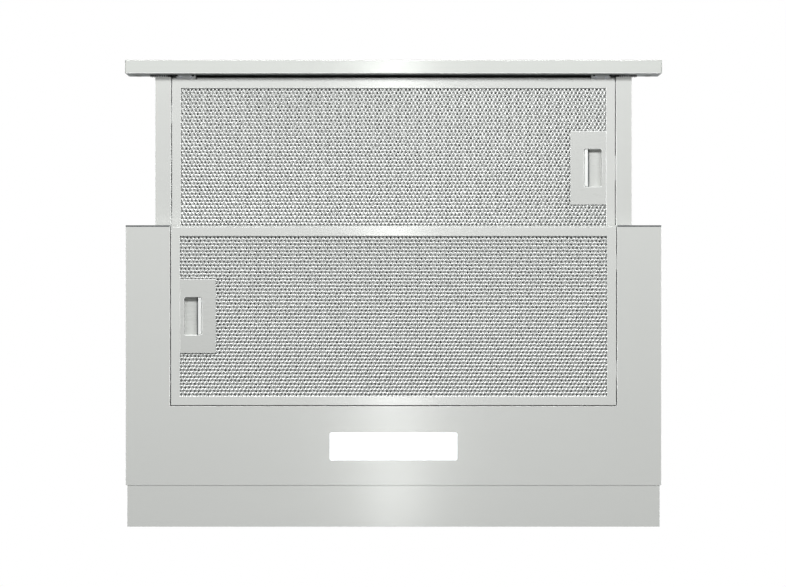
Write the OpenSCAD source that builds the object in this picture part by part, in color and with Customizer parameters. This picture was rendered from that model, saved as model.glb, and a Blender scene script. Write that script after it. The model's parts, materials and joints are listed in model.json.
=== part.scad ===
// Slide-out cooker hood for a kitchen cupboard, 600 mm class.
// +Z is up, the user stands at -Y, and +X is on the user's right hand.
// The origin is on the underside, at the middle of the pan's rear edge.

/* [Lower pan] */
// Width of the lower pan across its side walls
body_w = 598; // [580:1:620]
// Depth of the lower pan, front to rear
body_d = 290; // [284:1:310]
// Height of the lower pan
pan_h = 41; // [40:0.5:50]
// Thickness of the painted steel sheet
sheet = 1; // [0.8:0.1:1.2]
// Height of the turned-up lip round each filter opening
lip_h = 2.5; // [2:0.1:2.8]

/* [Upper housing] */
// Distance from the pan's side to the housing's side
housing_side = 36; // [28:1:45]
// Depth of the upper housing
housing_d = 270; // [265:1:280]
// Height of the upper housing above the pan
housing_h = 162; // [155:1:200]
// Distance from the pan's rear edge to the housing's rear wall
housing_set = 5; // [2:1:8]

/* [Duct] */
// Outer radius of the duct collar
duct_r = 75; // [70:0.5:78]
// Height of the duct collar above the housing
duct_h = 42; // [36:1:60]
// Distance from the pan's rear edge to the collar's axis
duct_set = 115; // [112:1:118]

/* [Grease filters] */
// Distance from the pan's side to the filter's end
filter_side = 50.5; // [50:0.5:56]
// Width of a filter, front to rear
filter_w = 199; // [190:1:200]
// Thickness of a filter
filter_t = 9.2; // [8.8:0.1:9.5]
// Width of the plain border round the filter's net
filter_border = 10; // [8:0.5:12]
// Distance from the pan's front edge to the rear filter
filter_set = 1.8; // [1.4:0.1:3]
// Holes in a net, along the filter
net_cols = 20; // [8:1:24]
// Rows of holes in a net
net_rows = 10; // [4:1:12]

/* [Slider] */
// Distance that the slider travels
slide_travel = 168.5; // [150:0.5:169]
// Distance from the pan's side to the tray's side
tray_side = 31.6; // [30:0.2:35]
// Height of the tray's underside over the pan's underside
tray_z = 15; // [14.5:0.5:15.5]
// Clearance between the tray's walls and the top of the pan
tray_under = 5; // [4.5:0.5:8]
// Length of a rail member
rail_l = 200; // [180:1:203]

/* [Fascia] */
// How far the fascia stands past the pan on each side
fascia_over = 0.7; // [0:0.1:1]
// Depth of the fascia, front to rear
fascia_d = 15.3; // [14:0.1:18]
// How far the fascia hangs below the pan
fascia_drop = 2; // [0:0.5:4]
// How far the fascia's top lies below the top of the pan
fascia_under = 0; // [0:0.5:3]
// Radius of a push button
button_r = 6; // [4:0.5:7]
// Distance from the fascia's end to the last push button
button_side = 51.7; // [40:0.1:80]
// Distance between push buttons
button_pitch = 24; // [18:1:26]
// Travel of a push button
button_travel = 1.2; // [0.8:0.1:1.5]

/* [Rear strip and lamp] */
// How far the rear strip shows behind the pan
strip_out = 46.5; // [30:0.5:60]
// Distance that the rear strip can be pushed in
strip_travel = 18; // [10:1:20]
// Length of the lamp cover
lamp_l = 142; // [120:1:150]
// Width of the lamp cover
lamp_w = 30.7; // [28:0.1:32]
// Distance from the pan's rear edge to the lamp cover
lamp_set = 27.9; // [27:0.1:29]

/* [Fan] */
// Outer radius of the fan wheel
fan_r = 52; // [46:0.5:53]
// Length of the fan wheel along its shaft
fan_l = 92; // [80:1:92]
// Number of blades
blades = 32; // [12:1:36]
// Radius of the motor shaft
shaft_r = 4; // [3:0.5:5]

/* [Hidden] */

$fn = 48;
eps = 0.5;         // overshoot of a cut through a face
slack = 0.3;       // clearance between pieces that only lie side by side
fit = 0.05;        // running clearance of a pin in its bore
slide_gap = 0.5;   // clearance between the members of a rail

// Sizes that follow the pan's
housing_w = body_w - 2 * housing_side;
filter_l = body_w - 2 * filter_side;
tray_w = body_w - 2 * tray_side;
tray_h = pan_h - tray_z - tray_under;
fascia_w = body_w + 2 * fascia_over;
fascia_h = pan_h + fascia_drop - fascia_under;

// Filters and the openings that hold them
filter_gap = 1;
filter_z = slack;
frame_t = 0.8;
net_t = 0.8;
net_z = 1.1;
opening_hx = filter_l / 2 + filter_gap;
filter_cy = -body_d + filter_set + filter_w / 2;
opening_rear = filter_cy + filter_w / 2 + filter_gap;
window_hx = filter_l / 2 - filter_border;
window_hy = filter_w / 2 - filter_border;

// Handle and latch, measured from the filter's latch end
plate_l = 40;
plate_w = 82.6;
plate_t = 1;
recess_in = 4.6;
recess_l = 20.4;
recess_w = 42.6;
recess_r = 2.6;
recess_deep = filter_t - 0.6;
cup_wall = 1.2;
plate_x = -window_hx;
recess_x = plate_x + recess_in;
latch_travel = 5;
latch_t = 1.5;
latch_z = 2.6;
tongue_w = 28;
tongue_reach = 3.8;
short_reach = filter_gap - slack;
hook_y = 60;
hook_w = 20;
hook_out = 4;
hook_t = 0.8;
hook_z = 2.7;
stop_t = 2;
stop_h = 7;
stop_x = plate_x + plate_l - 2.3;

// Lower pan
wall_slot_z = 4;
adjust_x0 = opening_hx - 0.5;
adjust_x1 = adjust_x0 + 24;
mouth_hx = adjust_x1 + 1.5;
mouth_z = tray_z - 2;
mouth_top = 4;
crossbar_d = 7;
crossbar_z = filter_z + filter_t + 0.7;
air_hx = housing_w / 2 - 28;
air_front = housing_set + housing_d - 25;
air_rear = housing_set + 40;
stud_x = body_w / 2 - 99;
stud_y = -25;
stud_r = 2;
strip_z = sheet + slack;
strip_in = 3;
lamp_top = 18;
lamp_lead_x = 40;

// Housing screws and the brackets on its sides
screw_r = 1.9;
screw_hole_r = screw_r + slack;
screw_head_r = 3.8;
screw_head_h = 2.2;
housing_flange = 13;
housing_screw_gap = 90;
bracket_cy = -housing_set - housing_d / 2;
bracket_len = 120;
bracket_z0 = pan_h + 12;
bracket_h = 40;
bracket_t = 1.5;
bracket_d = 20.5;
bracket_screw_y = 50;
bracket_screw_z = 28;
bracket_bolt_y = 40;
bracket_bolt_z = 22;
bracket_bolt_r = 2.5;

// Slider, at its pulled-out place
fascia_rear = -body_d - slide_travel - 1;
fascia_front = fascia_rear - fascia_d;
clip_gap = 2.5;
tray_front = fascia_rear + clip_gap;
tray_wall_hx = opening_hx + 4.5;
tray_wall_t = 0.8;
front_filter_cy = tray_front + sheet + 0.5 + filter_gap + filter_w / 2;
tray_rear = front_filter_cy + filter_w / 2 + filter_gap + 2.5;
tray_filter_z = tray_z + slack;

// Clips and toothed adjusters between the fascia and the tray
clip_x1 = opening_hx - 6;
clip_x0 = clip_x1 - 21.5;
clip_z = tray_z - 0.5;
clip_t = 1.5;
clip_leg = 0.9;
clip_foot = clip_gap + 2.2;
clip_h = 16;
clip_screw_y = fascia_rear + clip_foot - 1.9;

// Rails: each member is a channel, and the next one runs round it
rail_cz = tray_z + 11;
rail_t = 1;
inner_h = 12.8;
mid_h = inner_h + 2 * (slide_gap + rail_t);
outer_h = mid_h + 2 * (slide_gap + rail_t);
inner_x = tray_wall_hx;
inner_d = 4.5;
mid_x = inner_x + 1.8;
mid_d = 5.2;
outer_x = mid_x + 2.2;
outer_d = tray_w / 2 - 0.6 - outer_x;
outer_cy = -body_d + 5 + rail_l / 2;
inner_cy = tray_front + 2 + rail_l / 2;
mid_cy = (outer_cy + inner_cy) / 2;

// Fan casing: a spiral round the fan wheel that opens upwards
fan_y = -duct_set - 50;
scroll_hx = fan_l / 2 + 4;
scroll_t = 2;
scroll_r0 = fan_r + 5;
scroll_grow = 24;
scroll_start = 60;
scroll_low = scroll_r0 + scroll_grow * (270 - scroll_start) / (360 - scroll_start);
fan_z = pan_h + 1.2 + scroll_t + scroll_low;
scroll_steps = 36;
inlet_r = fan_r - 10;
scroll_top = pan_h + housing_h - sheet;
flange_hx = duct_r + 5;
throat_hx = duct_r - 19;

// Duct collar and its two flaps
collar_z = pan_h + housing_h;
collar_t = 1.5;
collar_flange = 7;
flap_z = collar_z + 11;
flap_t = 1.2;
flap_r = duct_r - collar_t - 2.5;
flap_clear = 4;
knuckle_r = 3;
flap_pin_r = 1.5;
ledge_w = 3.5;
ledge_h = 2.5;

// Electrics
box_l = 72;
box_y0 = -housing_set - housing_d + 40;
box_y1 = box_y0 + 100;
box_z0 = pan_h + 77;
box_h = 50;
box_wall = 2;
box_x0 = housing_w / 2 - sheet - box_l;
gland_x = housing_w / 2 - 37;
gland_y = (box_y0 + box_y1) / 2;
gland_bore = 4;
gland_neck = 7.7;
gland_neck_bore = 5.4;
lead_r = 2.5;
lead_z = 12;
lid_t = 2;
drop_y = box_y1 - 15;
motor_r = 36;
motor_x0 = 6;
motor_x1 = scroll_hx - 2;
motor_nose = 4;
motor_boss_r = 14;
hub_x = -16;
shaft_in = 26;
press = 0.02;
capacitor_r = 15;
capacitor_l = 48;
capacitor_z = box_z0 + box_h / 2;

// Buttons in the fascia
button_x0 = fascia_w / 2 - button_side - 3 * button_pitch;
button_z = fascia_h / 2 - fascia_drop;
button_len = 7;
bezel_x0 = button_x0 - 16;
bezel_x1 = button_x0 + 3 * button_pitch + 16;
bezel_hz = 11;
bezel_t = 1.6;
board_y = fascia_front + 9;
dome_h = 1.7;
switch_stroke = 1.2;

module block(x0, x1, y0, y1, z0, z1) {
    translate([x0, y0, z0]) cube([x1 - x0, y1 - y0, z1 - z0]);
}

// A bar that spans the same distance on both sides of the middle plane
module span(hx, y0, y1, z0, z1) {
    block(-hx, hx, y0, y1, z0, z1);
}

module both_sides() {
    children();
    mirror([1, 0, 0]) children();
}

module rounded_slab(l, w, r, h) {
    translate([-l / 2 + r, -w / 2, 0]) cube([l - 2 * r, w, h]);
    translate([-l / 2, -w / 2 + r, 0]) cube([l, w - 2 * r, h]);
    for (x = [-1, 1], y = [-1, 1])
        translate([x * (l / 2 - r), y * (w / 2 - r), 0]) cylinder(r = r, h = h);
}

module screw(r, head_r, head_h, length) {
    translate([0, 0, -length]) cylinder(r = r, h = length);
    difference() {
        cylinder(r = head_r, h = head_h);
        for (a = [0, 90])
            rotate([0, 0, a]) translate([-head_r * 0.6, -head_r * 0.12, head_h * 0.5])
                cube([head_r * 1.2, head_r * 0.24, head_h]);
    }
}

function unit(v) = v / norm(v);

function along(path, i) = unit(path[min(i + 1, len(path) - 1)] - path[max(i - 1, 0)]);

// One ring of a tube round a point of its path; ref is never in line with the path
function tube_ring(path, i, r, sides, ref) = let (
    t = along(path, i),
    u = unit(cross(ref, t)),
    v = cross(t, u)
) [for (k = [0 : sides - 1]) path[i] + r * (u * cos(360 * k / sides) + v * sin(360 * k / sides))];

module tube(path, r, sides, ref) {
    n = len(path) - 1;
    skin = [for (i = [0 : n - 1], k = [0 : sides - 1]) let (next = (k + 1) % sides)
        each [[i * sides + k, (i + 1) * sides + k, i * sides + next],
              [i * sides + next, (i + 1) * sides + k, (i + 1) * sides + next]]];
    ends = [[for (k = [0 : sides - 1]) k], [for (k = [sides - 1 : -1 : 0]) n * sides + k]];
    polyhedron([for (i = [0 : n]) each tube_ring(path, i, r, sides, ref)], concat(skin, ends));
}

// Lower pan

module pan_plates() {
    span(body_w / 2, -body_d, 0, 0, sheet);
    span(body_w / 2, -body_d, 0, pan_h - sheet, pan_h);
    span(body_w / 2, -body_d, -body_d + sheet, 0, pan_h);
    span(body_w / 2, -sheet, 0, wall_slot_z, pan_h);
    both_sides() block(body_w / 2 - sheet, body_w / 2, -body_d, 0, 0, pan_h);
}

module pan_lip() {
    both_sides() block(opening_hx, opening_hx + sheet, -body_d, opening_rear + sheet, 0, lip_h);
    span(opening_hx + sheet, opening_rear, opening_rear + sheet, 0, lip_h);
}

module bottom_pan() {
    color([0.82, 0.83, 0.82]) {
        difference() {
            union() {
                pan_plates();
                pan_lip();
                span(mouth_hx, -body_d, -body_d + crossbar_d, crossbar_z, crossbar_z + sheet);
            }
            span(opening_hx, -body_d - eps, opening_rear, -eps, crossbar_z);
            span(mouth_hx, -body_d - eps, -body_d + sheet + eps, mouth_z, pan_h - mouth_top);
            span(air_hx, -air_front, -air_rear, pan_h - sheet - eps, pan_h + eps);
            translate([0, -lamp_set - lamp_w / 2, -eps])
                rounded_slab(lamp_l + 2 * slack, lamp_w + 2 * slack, 2, sheet + 2 * eps);
            for (p = housing_screw_places())
                translate([p[0], p[1], pan_h - sheet - eps])
                    cylinder(r = screw_hole_r, h = sheet + 2 * eps);
        }
        both_sides() translate([stud_x, stud_y, sheet / 2])
            cylinder(r = stud_r, h = 10 - sheet / 2);
    }
}

module strip_nuts() {
    color([0.72, 0.73, 0.75]) both_sides()
        translate([stud_x, stud_y, strip_z + sheet + slack]) difference() {
            union() {
                cylinder(r = 5, h = 0.8);
                translate([0, 0, 0.8]) cylinder(r = 4, h = 3.2, $fn = 6);
            }
            translate([0, 0, -eps]) cylinder(r = stud_r + fit, h = 5);
        }
}

module rear_strip() {
    strip_hx = body_w / 2 - sheet - 0.7;
    tongue_hw = 30;
    color([0.76, 0.77, 0.76]) difference() {
        union() {
            span(strip_hx, -strip_in, strip_out, strip_z, strip_z + sheet);
            span(strip_hx, strip_out - sheet, strip_out, strip_z, strip_z + 25);
            both_sides() block(stud_x - tongue_hw, stud_x + tongue_hw, stud_y - 18, 0,
                               strip_z, strip_z + sheet);
        }
        both_sides() translate([stud_x, stud_y, strip_z - eps]) {
            cylinder(r = stud_r + slack, h = sheet + 2 * eps);
            translate([0, strip_travel, 0]) cylinder(r = stud_r + slack, h = sheet + 2 * eps);
            translate([-stud_r - slack, 0, 0])
                cube([2 * (stud_r + slack), strip_travel, sheet + 2 * eps]);
        }
    }
}

// Upper housing and the brackets that hold it in the cupboard

function housing_screw_places() = [
    for (x = [-1, 1], i = [-1, 0, 1])
        [x * (housing_w / 2 - housing_flange / 2 - 0.5), bracket_cy + i * housing_screw_gap]
];

// Four walls, with a flange turned inwards along the foot of each side wall
module upper_housing() {
    y0 = -housing_set - housing_d;
    y1 = -housing_set;
    z1 = pan_h + housing_h - sheet;
    color([0.8, 0.81, 0.8]) difference() {
        span(housing_w / 2, y0, y1, pan_h, z1);
        span(housing_w / 2 - sheet, y0 + sheet, y1 - sheet, pan_h + sheet, z1 + eps);
        span(housing_w / 2 - housing_flange, y0 + sheet, y1 - sheet, pan_h - eps, z1 + eps);
        for (p = housing_screw_places())
            translate([p[0], p[1], pan_h - eps]) cylinder(r = screw_hole_r, h = sheet + 2 * eps);
        both_sides() bracket_screw_bores();
    }
}

// The plate over the walls, with a square throat under the collar and a hole for the gland
module housing_top() {
    z0 = pan_h + housing_h - sheet;
    color([0.82, 0.83, 0.82]) difference() {
        span(housing_w / 2, -housing_set - housing_d, -housing_set, z0, z0 + sheet);
        span(throat_hx, -duct_set - throat_hx, -duct_set + throat_hx, z0 - eps, z0 + sheet + eps);
        translate([gland_x, gland_y, z0 - eps]) cylinder(r = gland_neck + slack, h = sheet + 2 * eps);
    }
}

module housing_screws() {
    color([0.6, 0.61, 0.63]) {
        for (p = housing_screw_places())
            translate([p[0], p[1], pan_h + sheet + slack / 3])
                screw(screw_r, screw_head_r, screw_head_h, 3.4);
        both_sides() for (y = [-1, 1])
            translate([housing_w / 2 + bracket_t + slack / 3, bracket_cy + y * bracket_screw_y,
                       bracket_z0 + bracket_screw_z])
                rotate([0, 90, 0]) screw(screw_r, screw_head_r, screw_head_h, 5);
    }
}

module bracket_screw_bores() {
    for (y = [-1, 1]) translate([housing_w / 2 - 5, bracket_cy + y * bracket_screw_y,
                                 bracket_z0 + bracket_screw_z])
        rotate([0, 90, 0]) cylinder(r = screw_hole_r, h = 8);
}

module cabinet_bracket() {
    x0 = housing_w / 2;
    x1 = x0 + bracket_d;
    y0 = bracket_cy - bracket_len / 2;
    y1 = bracket_cy + bracket_len / 2;
    color([0.7, 0.71, 0.72]) difference() {
        union() {
            block(x0, x0 + bracket_t, y0, y1, bracket_z0, bracket_z0 + bracket_h);
            block(x0, x1, y0, y1, bracket_z0, bracket_z0 + bracket_t);
            block(x1 - bracket_t, x1, y0, y1, bracket_z0, bracket_z0 + bracket_h);
        }
        bracket_screw_bores();
        for (y = [-1, 1])
            translate([x1 - 5, bracket_cy + y * bracket_bolt_y, bracket_z0 + bracket_bolt_z])
                rotate([0, 90, 0]) cylinder(r = bracket_bolt_r, h = 8);
    }
}

module cabinet_bracket_left() {
    mirror([1, 0, 0]) cabinet_bracket();
}

module cabinet_bracket_right() {
    cabinet_bracket();
}

// Fan, its casing and its motor

function spiral_r(a) = scroll_r0 + scroll_grow * (a - scroll_start) / (360 - scroll_start);

// Where the spiral starts when its outline is moved outwards
function start_angle(out) = acos((scroll_r0 * cos(scroll_start) - out) / (scroll_r0 + out));

// The casing's outline, moved outwards by the given amount, and open up to the given height
function scroll_outline(out, top) = concat(
    [for (i = [0 : scroll_steps])
        let (a = start_angle(out) + (360 - start_angle(out)) * i / scroll_steps)
            (spiral_r(a) + out) * [cos(a), sin(a)]],
    [[spiral_r(360) + out, top - fan_z],
     [scroll_r0 * cos(scroll_start) - out, top - fan_z]]
);

// Turns a flat outline in (y, z) round the fan's axis and gives it a length along X
module along_fan(x0, x1) {
    translate([x0, fan_y, fan_z]) rotate([90, 0, 90]) linear_extrude(x1 - x0) children();
}

module blower_scroll() {
    out_y0 = fan_y + scroll_r0 * cos(scroll_start);
    out_y1 = fan_y + spiral_r(360);
    color([0.25, 0.26, 0.28]) difference() {
        union() {
            along_fan(-scroll_hx, scroll_hx) polygon(scroll_outline(scroll_t, scroll_top));
            span(flange_hx, -duct_set - flange_hx, -duct_set + flange_hx,
                 scroll_top - scroll_t, scroll_top);
        }
        along_fan(-scroll_hx - eps, scroll_hx + eps)
            polygon(scroll_outline(0, scroll_top - scroll_t));
        span(scroll_hx, out_y0, out_y1, scroll_top - scroll_t - eps, scroll_top + eps);
    }
}

module scroll_cover(x0) {
    difference() {
        along_fan(x0, x0 + scroll_t)
            polygon(scroll_outline(scroll_t, scroll_top - scroll_t - slack / 3));
        along_fan(x0 - eps, x0 + scroll_t + eps) circle(r = inlet_r);
    }
}

module inlet_ring(x0) {
    along_fan(x0, x0 + 5) difference() {
        circle(r = inlet_r + 2, $fn = 72);
        circle(r = inlet_r, $fn = 72);
    }
}

module scroll_cover_left() {
    color([0.3, 0.31, 0.33]) {
        scroll_cover(-scroll_hx - scroll_t);
        inlet_ring(-scroll_hx - scroll_t - 5);
    }
}

module scroll_cover_right() {
    color([0.3, 0.31, 0.33]) scroll_cover(scroll_hx);
}

module motor_bracket() {
    x0 = scroll_hx + scroll_t;
    color([0.65, 0.66, 0.68]) {
        along_fan(x0, x0 + 2) difference() {
            circle(r = inlet_r + 7, $fn = 72);
            circle(r = inlet_r + 1, $fn = 72);
        }
        along_fan(x0, x0 + 2) circle(r = 18);
        for (a = [30, 150, 270])
            along_fan(x0, x0 + 2) rotate(a) translate([16, -5]) square([inlet_r - 12, 10]);
    }
}

module motor_body() {
    color([0.55, 0.56, 0.58]) difference() {
        union() {
            along_fan(motor_x0, motor_x1 - motor_nose) circle(r = motor_r, $fn = 72);
            along_fan(motor_x1 - motor_nose - eps, scroll_hx + scroll_t) circle(r = motor_boss_r);
        }
        along_fan(motor_x0 - eps, motor_x0 + shaft_in + 2) circle(r = shaft_r + fit);
        for (a = [0 : 45 : 315])
            along_fan(motor_x0 + 14, motor_x0 + 26) rotate(a) translate([motor_r - 3, -4])
                square([6, 8]);
    }
}

module motor_shaft() {
    color([0.75, 0.76, 0.78]) along_fan(hub_x, motor_x0 + shaft_in) circle(r = shaft_r);
}

module impeller() {
    color([0.2, 0.2, 0.22]) {
        along_fan(-1.5, 1.5) difference() {
            circle(r = fan_r, $fn = 96);
            circle(r = shaft_r + press);
        }
        along_fan(hub_x + 2, 1.5) difference() {
            circle(r = shaft_r + 8);
            circle(r = shaft_r + press);
        }
        for (x = [-fan_l / 2, fan_l / 2 - 3]) along_fan(x, x + 3) difference() {
            circle(r = fan_r, $fn = 96);
            circle(r = fan_r - 3, $fn = 96);
        }
        for (i = [0 : blades - 1]) along_fan(-fan_l / 2, fan_l / 2)
            rotate(360 * i / blades) translate([fan_r - 5.5, 0]) rotate(-35)
                translate([-4.6, -0.6]) square([9.2, 1.2]);
    }
}

// Duct collar and its flaps

module duct_collar() {
    color([0.3, 0.31, 0.32]) translate([0, -duct_set, collar_z]) difference() {
        union() {
            cylinder(r = duct_r, h = duct_h, $fn = 96);
            cylinder(r = duct_r + collar_flange, h = 2, $fn = 96);
        }
        translate([0, 0, -eps]) cylinder(r = duct_r - collar_t - ledge_w, h = 100, $fn = 96);
        translate([0, 0, -eps]) cylinder(r = duct_r - collar_t,
            h = flap_z - collar_z - flap_t / 2 - slack - ledge_h + eps, $fn = 96);
        translate([0, 0, flap_z - collar_z - flap_t / 2 - slack])
            cylinder(r = duct_r - collar_t, h = 100, $fn = 96);
        translate([-duct_r - eps, 0, flap_z - collar_z]) rotate([0, 90, 0])
            cylinder(r = flap_pin_r + fit, h = 2 * duct_r + 2 * eps);
    }
}

module flap_pin() {
    color([0.75, 0.76, 0.78]) translate([-duct_r + 0.2, -duct_set, flap_z])
        rotate([0, 90, 0]) cylinder(r = flap_pin_r, h = 2 * duct_r - 0.4);
}

// A half disc with two knuckles round the pin; the knuckles start at the given places
module flap(starts) {
    knuckle_l = 28;
    difference() {
        union() {
            difference() {
                cylinder(r = flap_r, h = flap_t, center = true, $fn = 96);
                translate([-flap_r - 1, -flap_r - 1, -flap_t])
                    cube([2 * flap_r + 2, flap_r + 1 + flap_clear, 2 * flap_t]);
            }
            for (x = starts) {
                translate([x, 0, 0]) rotate([0, 90, 0]) cylinder(r = knuckle_r, h = knuckle_l);
                translate([x, knuckle_r - 1, -flap_t / 2])
                    cube([knuckle_l, flap_clear - knuckle_r + 2, flap_t]);
            }
        }
        translate([-flap_r, 0, 0]) rotate([0, 90, 0])
            cylinder(r = flap_pin_r + fit, h = 2 * flap_r);
    }
}

module flap_rear() {
    color([0.5, 0.51, 0.53]) translate([0, -duct_set, flap_z]) flap([-60, 1]);
}

module flap_front() {
    color([0.5, 0.51, 0.53]) translate([0, -duct_set, flap_z]) rotate([0, 0, 180])
        flap([-60, 1]);
}

// Lamp

module lamp_cover() {
    color([0.96, 0.97, 1]) translate([0, -lamp_set - lamp_w / 2, 0]) {
        rounded_slab(lamp_l, lamp_w, 2, sheet + slack);
        translate([0, 0, sheet + slack / 3]) rounded_slab(lamp_l + 6, lamp_w + 6, 2, 1.6);
    }
}

module lamp_holder() {
    cy = -lamp_set - lamp_w / 2;
    hx = lamp_l / 2 + 9;
    hy = lamp_w / 2 + 6.5;
    color([0.9, 0.9, 0.9]) difference() {
        span(hx, cy - hy, cy + hy, sheet, lamp_top);
        span(hx - 2, cy - hy + 2, cy + hy - 2, sheet - eps, lamp_top - 2);
        translate([lamp_lead_x, cy, lamp_top - 3]) cylinder(r = lead_r + slack, h = 4);
    }
}

module led_board() {
    cy = -lamp_set - lamp_w / 2;
    color([0.95, 0.95, 0.92]) {
        span(lamp_l / 2, cy - 10, cy + 10, lamp_top - 4 + slack, lamp_top - 2);
        for (x = [-60 : 15 : 60]) block(x - 2, x + 2, cy - 2, cy + 2, lamp_top - 4.6, lamp_top - 3.5);
    }
}

// Electrics

module electronics_box() {
    x1 = housing_w / 2 - sheet;
    color([0.88, 0.88, 0.86]) difference() {
        block(box_x0, x1, box_y0, box_y1, box_z0, box_z0 + box_h);
        block(box_x0 - eps, x1 - box_wall, box_y0 + box_wall, box_y1 - box_wall,
              box_z0 + box_wall, box_z0 + box_h - box_wall);
        translate([gland_x, gland_y, box_z0 + box_h - 3]) cylinder(r = lead_r + slack, h = 4);
        translate([gland_x, drop_y, box_z0 - 1]) cylinder(r = lead_r + slack, h = 4);
    }
}

module electronics_lid() {
    color([0.85, 0.85, 0.83]) difference() {
        block(box_x0 - lid_t, box_x0, box_y0, box_y1, box_z0, box_z0 + box_h);
        translate([box_x0 - lid_t - eps, drop_y, box_z0 + lead_z]) rotate([0, 90, 0])
            cylinder(r = lead_r + slack, h = lid_t + 2 * eps);
    }
}

module motor_capacitor() {
    color([0.35, 0.36, 0.4]) translate([box_x0 - lid_t, gland_y, capacitor_z])
        rotate([0, -90, 0]) {
        cylinder(r = capacitor_r, h = capacitor_l);
        translate([0, 0, capacitor_l]) cylinder(r = 6, h = 3);
    }
}

module cable_gland() {
    z1 = pan_h + housing_h;
    color([0.15, 0.15, 0.16]) translate([gland_x, gland_y, 0]) difference() {
        union() {
            translate([0, 0, z1]) cylinder(r = 11, h = 5, $fn = 6);
            translate([0, 0, z1 + 5]) cylinder(r = 8.5, h = 8);
            translate([0, 0, z1 - 8]) cylinder(r = gland_neck, h = 8.5);
            translate([0, 0, z1 - sheet - 4]) cylinder(r = 10.5, h = 4, $fn = 6);
        }
        translate([0, 0, z1 - 9]) cylinder(r = gland_bore, h = 30);
        translate([0, 0, z1 - 9]) cylinder(r = gland_neck_bore, h = 12);
    }
}

module wiring_harness() {
    cy = -lamp_set - lamp_w / 2;
    box_top = box_z0 + box_h;
    lamp_y = -air_rear - 9;
    motor_x = scroll_hx + scroll_t + 2;
    color([0.2, 0.2, 0.2]) {
        tube([[gland_x, gland_y, box_top - 8], [gland_x, gland_y, box_top + 22]],
             lead_r, 12, [1, 0, 0]);
        tube([[box_x0 + 6, drop_y, box_z0 + lead_z], [box_x0 - 20, drop_y, box_z0 + lead_z],
              [box_x0 - 40, drop_y - 2, box_z0 + lead_z - 2], [motor_x + 30, fan_y + 2, fan_z + 2],
              [motor_x + 14, fan_y, fan_z], [motor_x, fan_y, fan_z]], lead_r, 12, [0, 0, 1]);
        tube([[gland_x, drop_y, box_z0 + 6], [gland_x, drop_y, box_z0 - 14],
              [gland_x - 2, drop_y + 6, box_z0 - 24], [gland_x - 10, lamp_y - 10, pan_h + 16],
              [gland_x - 24, lamp_y, pan_h + 9], [lamp_lead_x + 30, lamp_y, pan_h + 9],
              [lamp_lead_x + 10, lamp_y + 1, pan_h + 6], [lamp_lead_x + 2, lamp_y + 3, pan_h - 4],
              [lamp_lead_x, cy - 3, lamp_top + 8], [lamp_lead_x, cy, lamp_top + 2],
              [lamp_lead_x, cy, lamp_top - 1]],
             lead_r, 12, [1, 2, 0.5]);
    }
}

module slider_switch() {
    y0 = tray_rear + slide_travel + slack;
    x = -tray_wall_hx + 9;
    color([0.12, 0.12, 0.13]) {
        block(x - 5, x + 5, y0 + switch_stroke, y0 + 20, rail_cz - 2, pan_h - sheet);
        block(x - 2, x + 2, y0, y0 + 2, rail_cz + 3, rail_cz + 6);
    }
}

// Rails

// A channel that opens towards the middle: a web with a flange above and below
module channel(x, d, h, cy, web_out) {
    web = web_out ? x + d - rail_t : x;
    block(web, web + rail_t, cy - rail_l / 2, cy + rail_l / 2, rail_cz - h / 2, rail_cz + h / 2);
    for (s = [-1, 1])
        block(x, x + d, cy - rail_l / 2, cy + rail_l / 2,
              rail_cz + s * (h / 2 - rail_t / 2) - rail_t / 2,
              rail_cz + s * (h / 2 - rail_t / 2) + rail_t / 2);
}

module rail_inner_right() {
    color([0.78, 0.79, 0.8]) channel(inner_x, inner_d, inner_h, inner_cy, false);
}

module rail_inner_left() {
    mirror([1, 0, 0]) rail_inner_right();
}

module rail_mid_right() {
    color([0.74, 0.75, 0.76]) channel(mid_x, mid_d, mid_h, mid_cy, true);
}

module rail_mid_left() {
    mirror([1, 0, 0]) rail_mid_right();
}

module rail_outer_right() {
    color([0.7, 0.71, 0.72]) channel(outer_x, outer_d, outer_h, outer_cy, true);
}

module rail_outer_left() {
    mirror([1, 0, 0]) rail_outer_right();
}

module rail_brackets() {
    x0 = outer_x + outer_d;
    x1 = body_w / 2 - sheet;
    color([0.7, 0.71, 0.72]) both_sides() for (s = [-1, 1]) {
        y0 = outer_cy + s * (rail_l / 2 - 30) - 20;
        block(x0, x0 + sheet, y0, y0 + 40, rail_cz - 6, rail_cz + 6);
        block(x1 - sheet, x1, y0, y0 + 40, rail_cz - 6, rail_cz + 6);
        block(x0, x1, y0, y0 + 40, rail_cz - sheet / 2, rail_cz + sheet / 2);
    }
}

// Slider

// A frame for the filter under a closed roof; the air leaves through the gap at its rear
module slider_tray() {
    hx = tray_w / 2;
    f0 = front_filter_cy - filter_w / 2;
    f1 = front_filter_cy + filter_w / 2;
    top = tray_z + tray_h;
    stop_z = tray_filter_z + filter_t + slack;
    post = 18;
    color([0.85, 0.86, 0.85]) difference() {
        union() {
            span(hx, tray_front, tray_rear, tray_z, tray_z + sheet);
            both_sides() block(tray_wall_hx - tray_wall_t, tray_wall_hx, tray_front, tray_rear,
                               tray_z, top);
            both_sides() block(opening_hx, opening_hx + sheet, tray_front + sheet, tray_rear,
                               tray_z, tray_z + lip_h);
            span(tray_wall_hx, tray_front, tray_front + sheet, tray_z + 10, top);
            span(tray_wall_hx, tray_rear - sheet, tray_rear, tray_z, stop_z + sheet);
            both_sides() block(tray_wall_hx - post, tray_wall_hx, tray_rear - sheet, tray_rear,
                               tray_z, top);
            span(tray_wall_hx, fascia_rear, tray_rear, top - sheet, top);
            span(tray_wall_hx, tray_front, f0 + 5, stop_z, stop_z + sheet);
            span(tray_wall_hx, f1 - 5, tray_rear, stop_z, stop_z + sheet);
        }
        span(opening_hx, tray_front - eps, f1 + filter_gap, tray_z - eps, tray_z + sheet + eps);
    }
}

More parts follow.
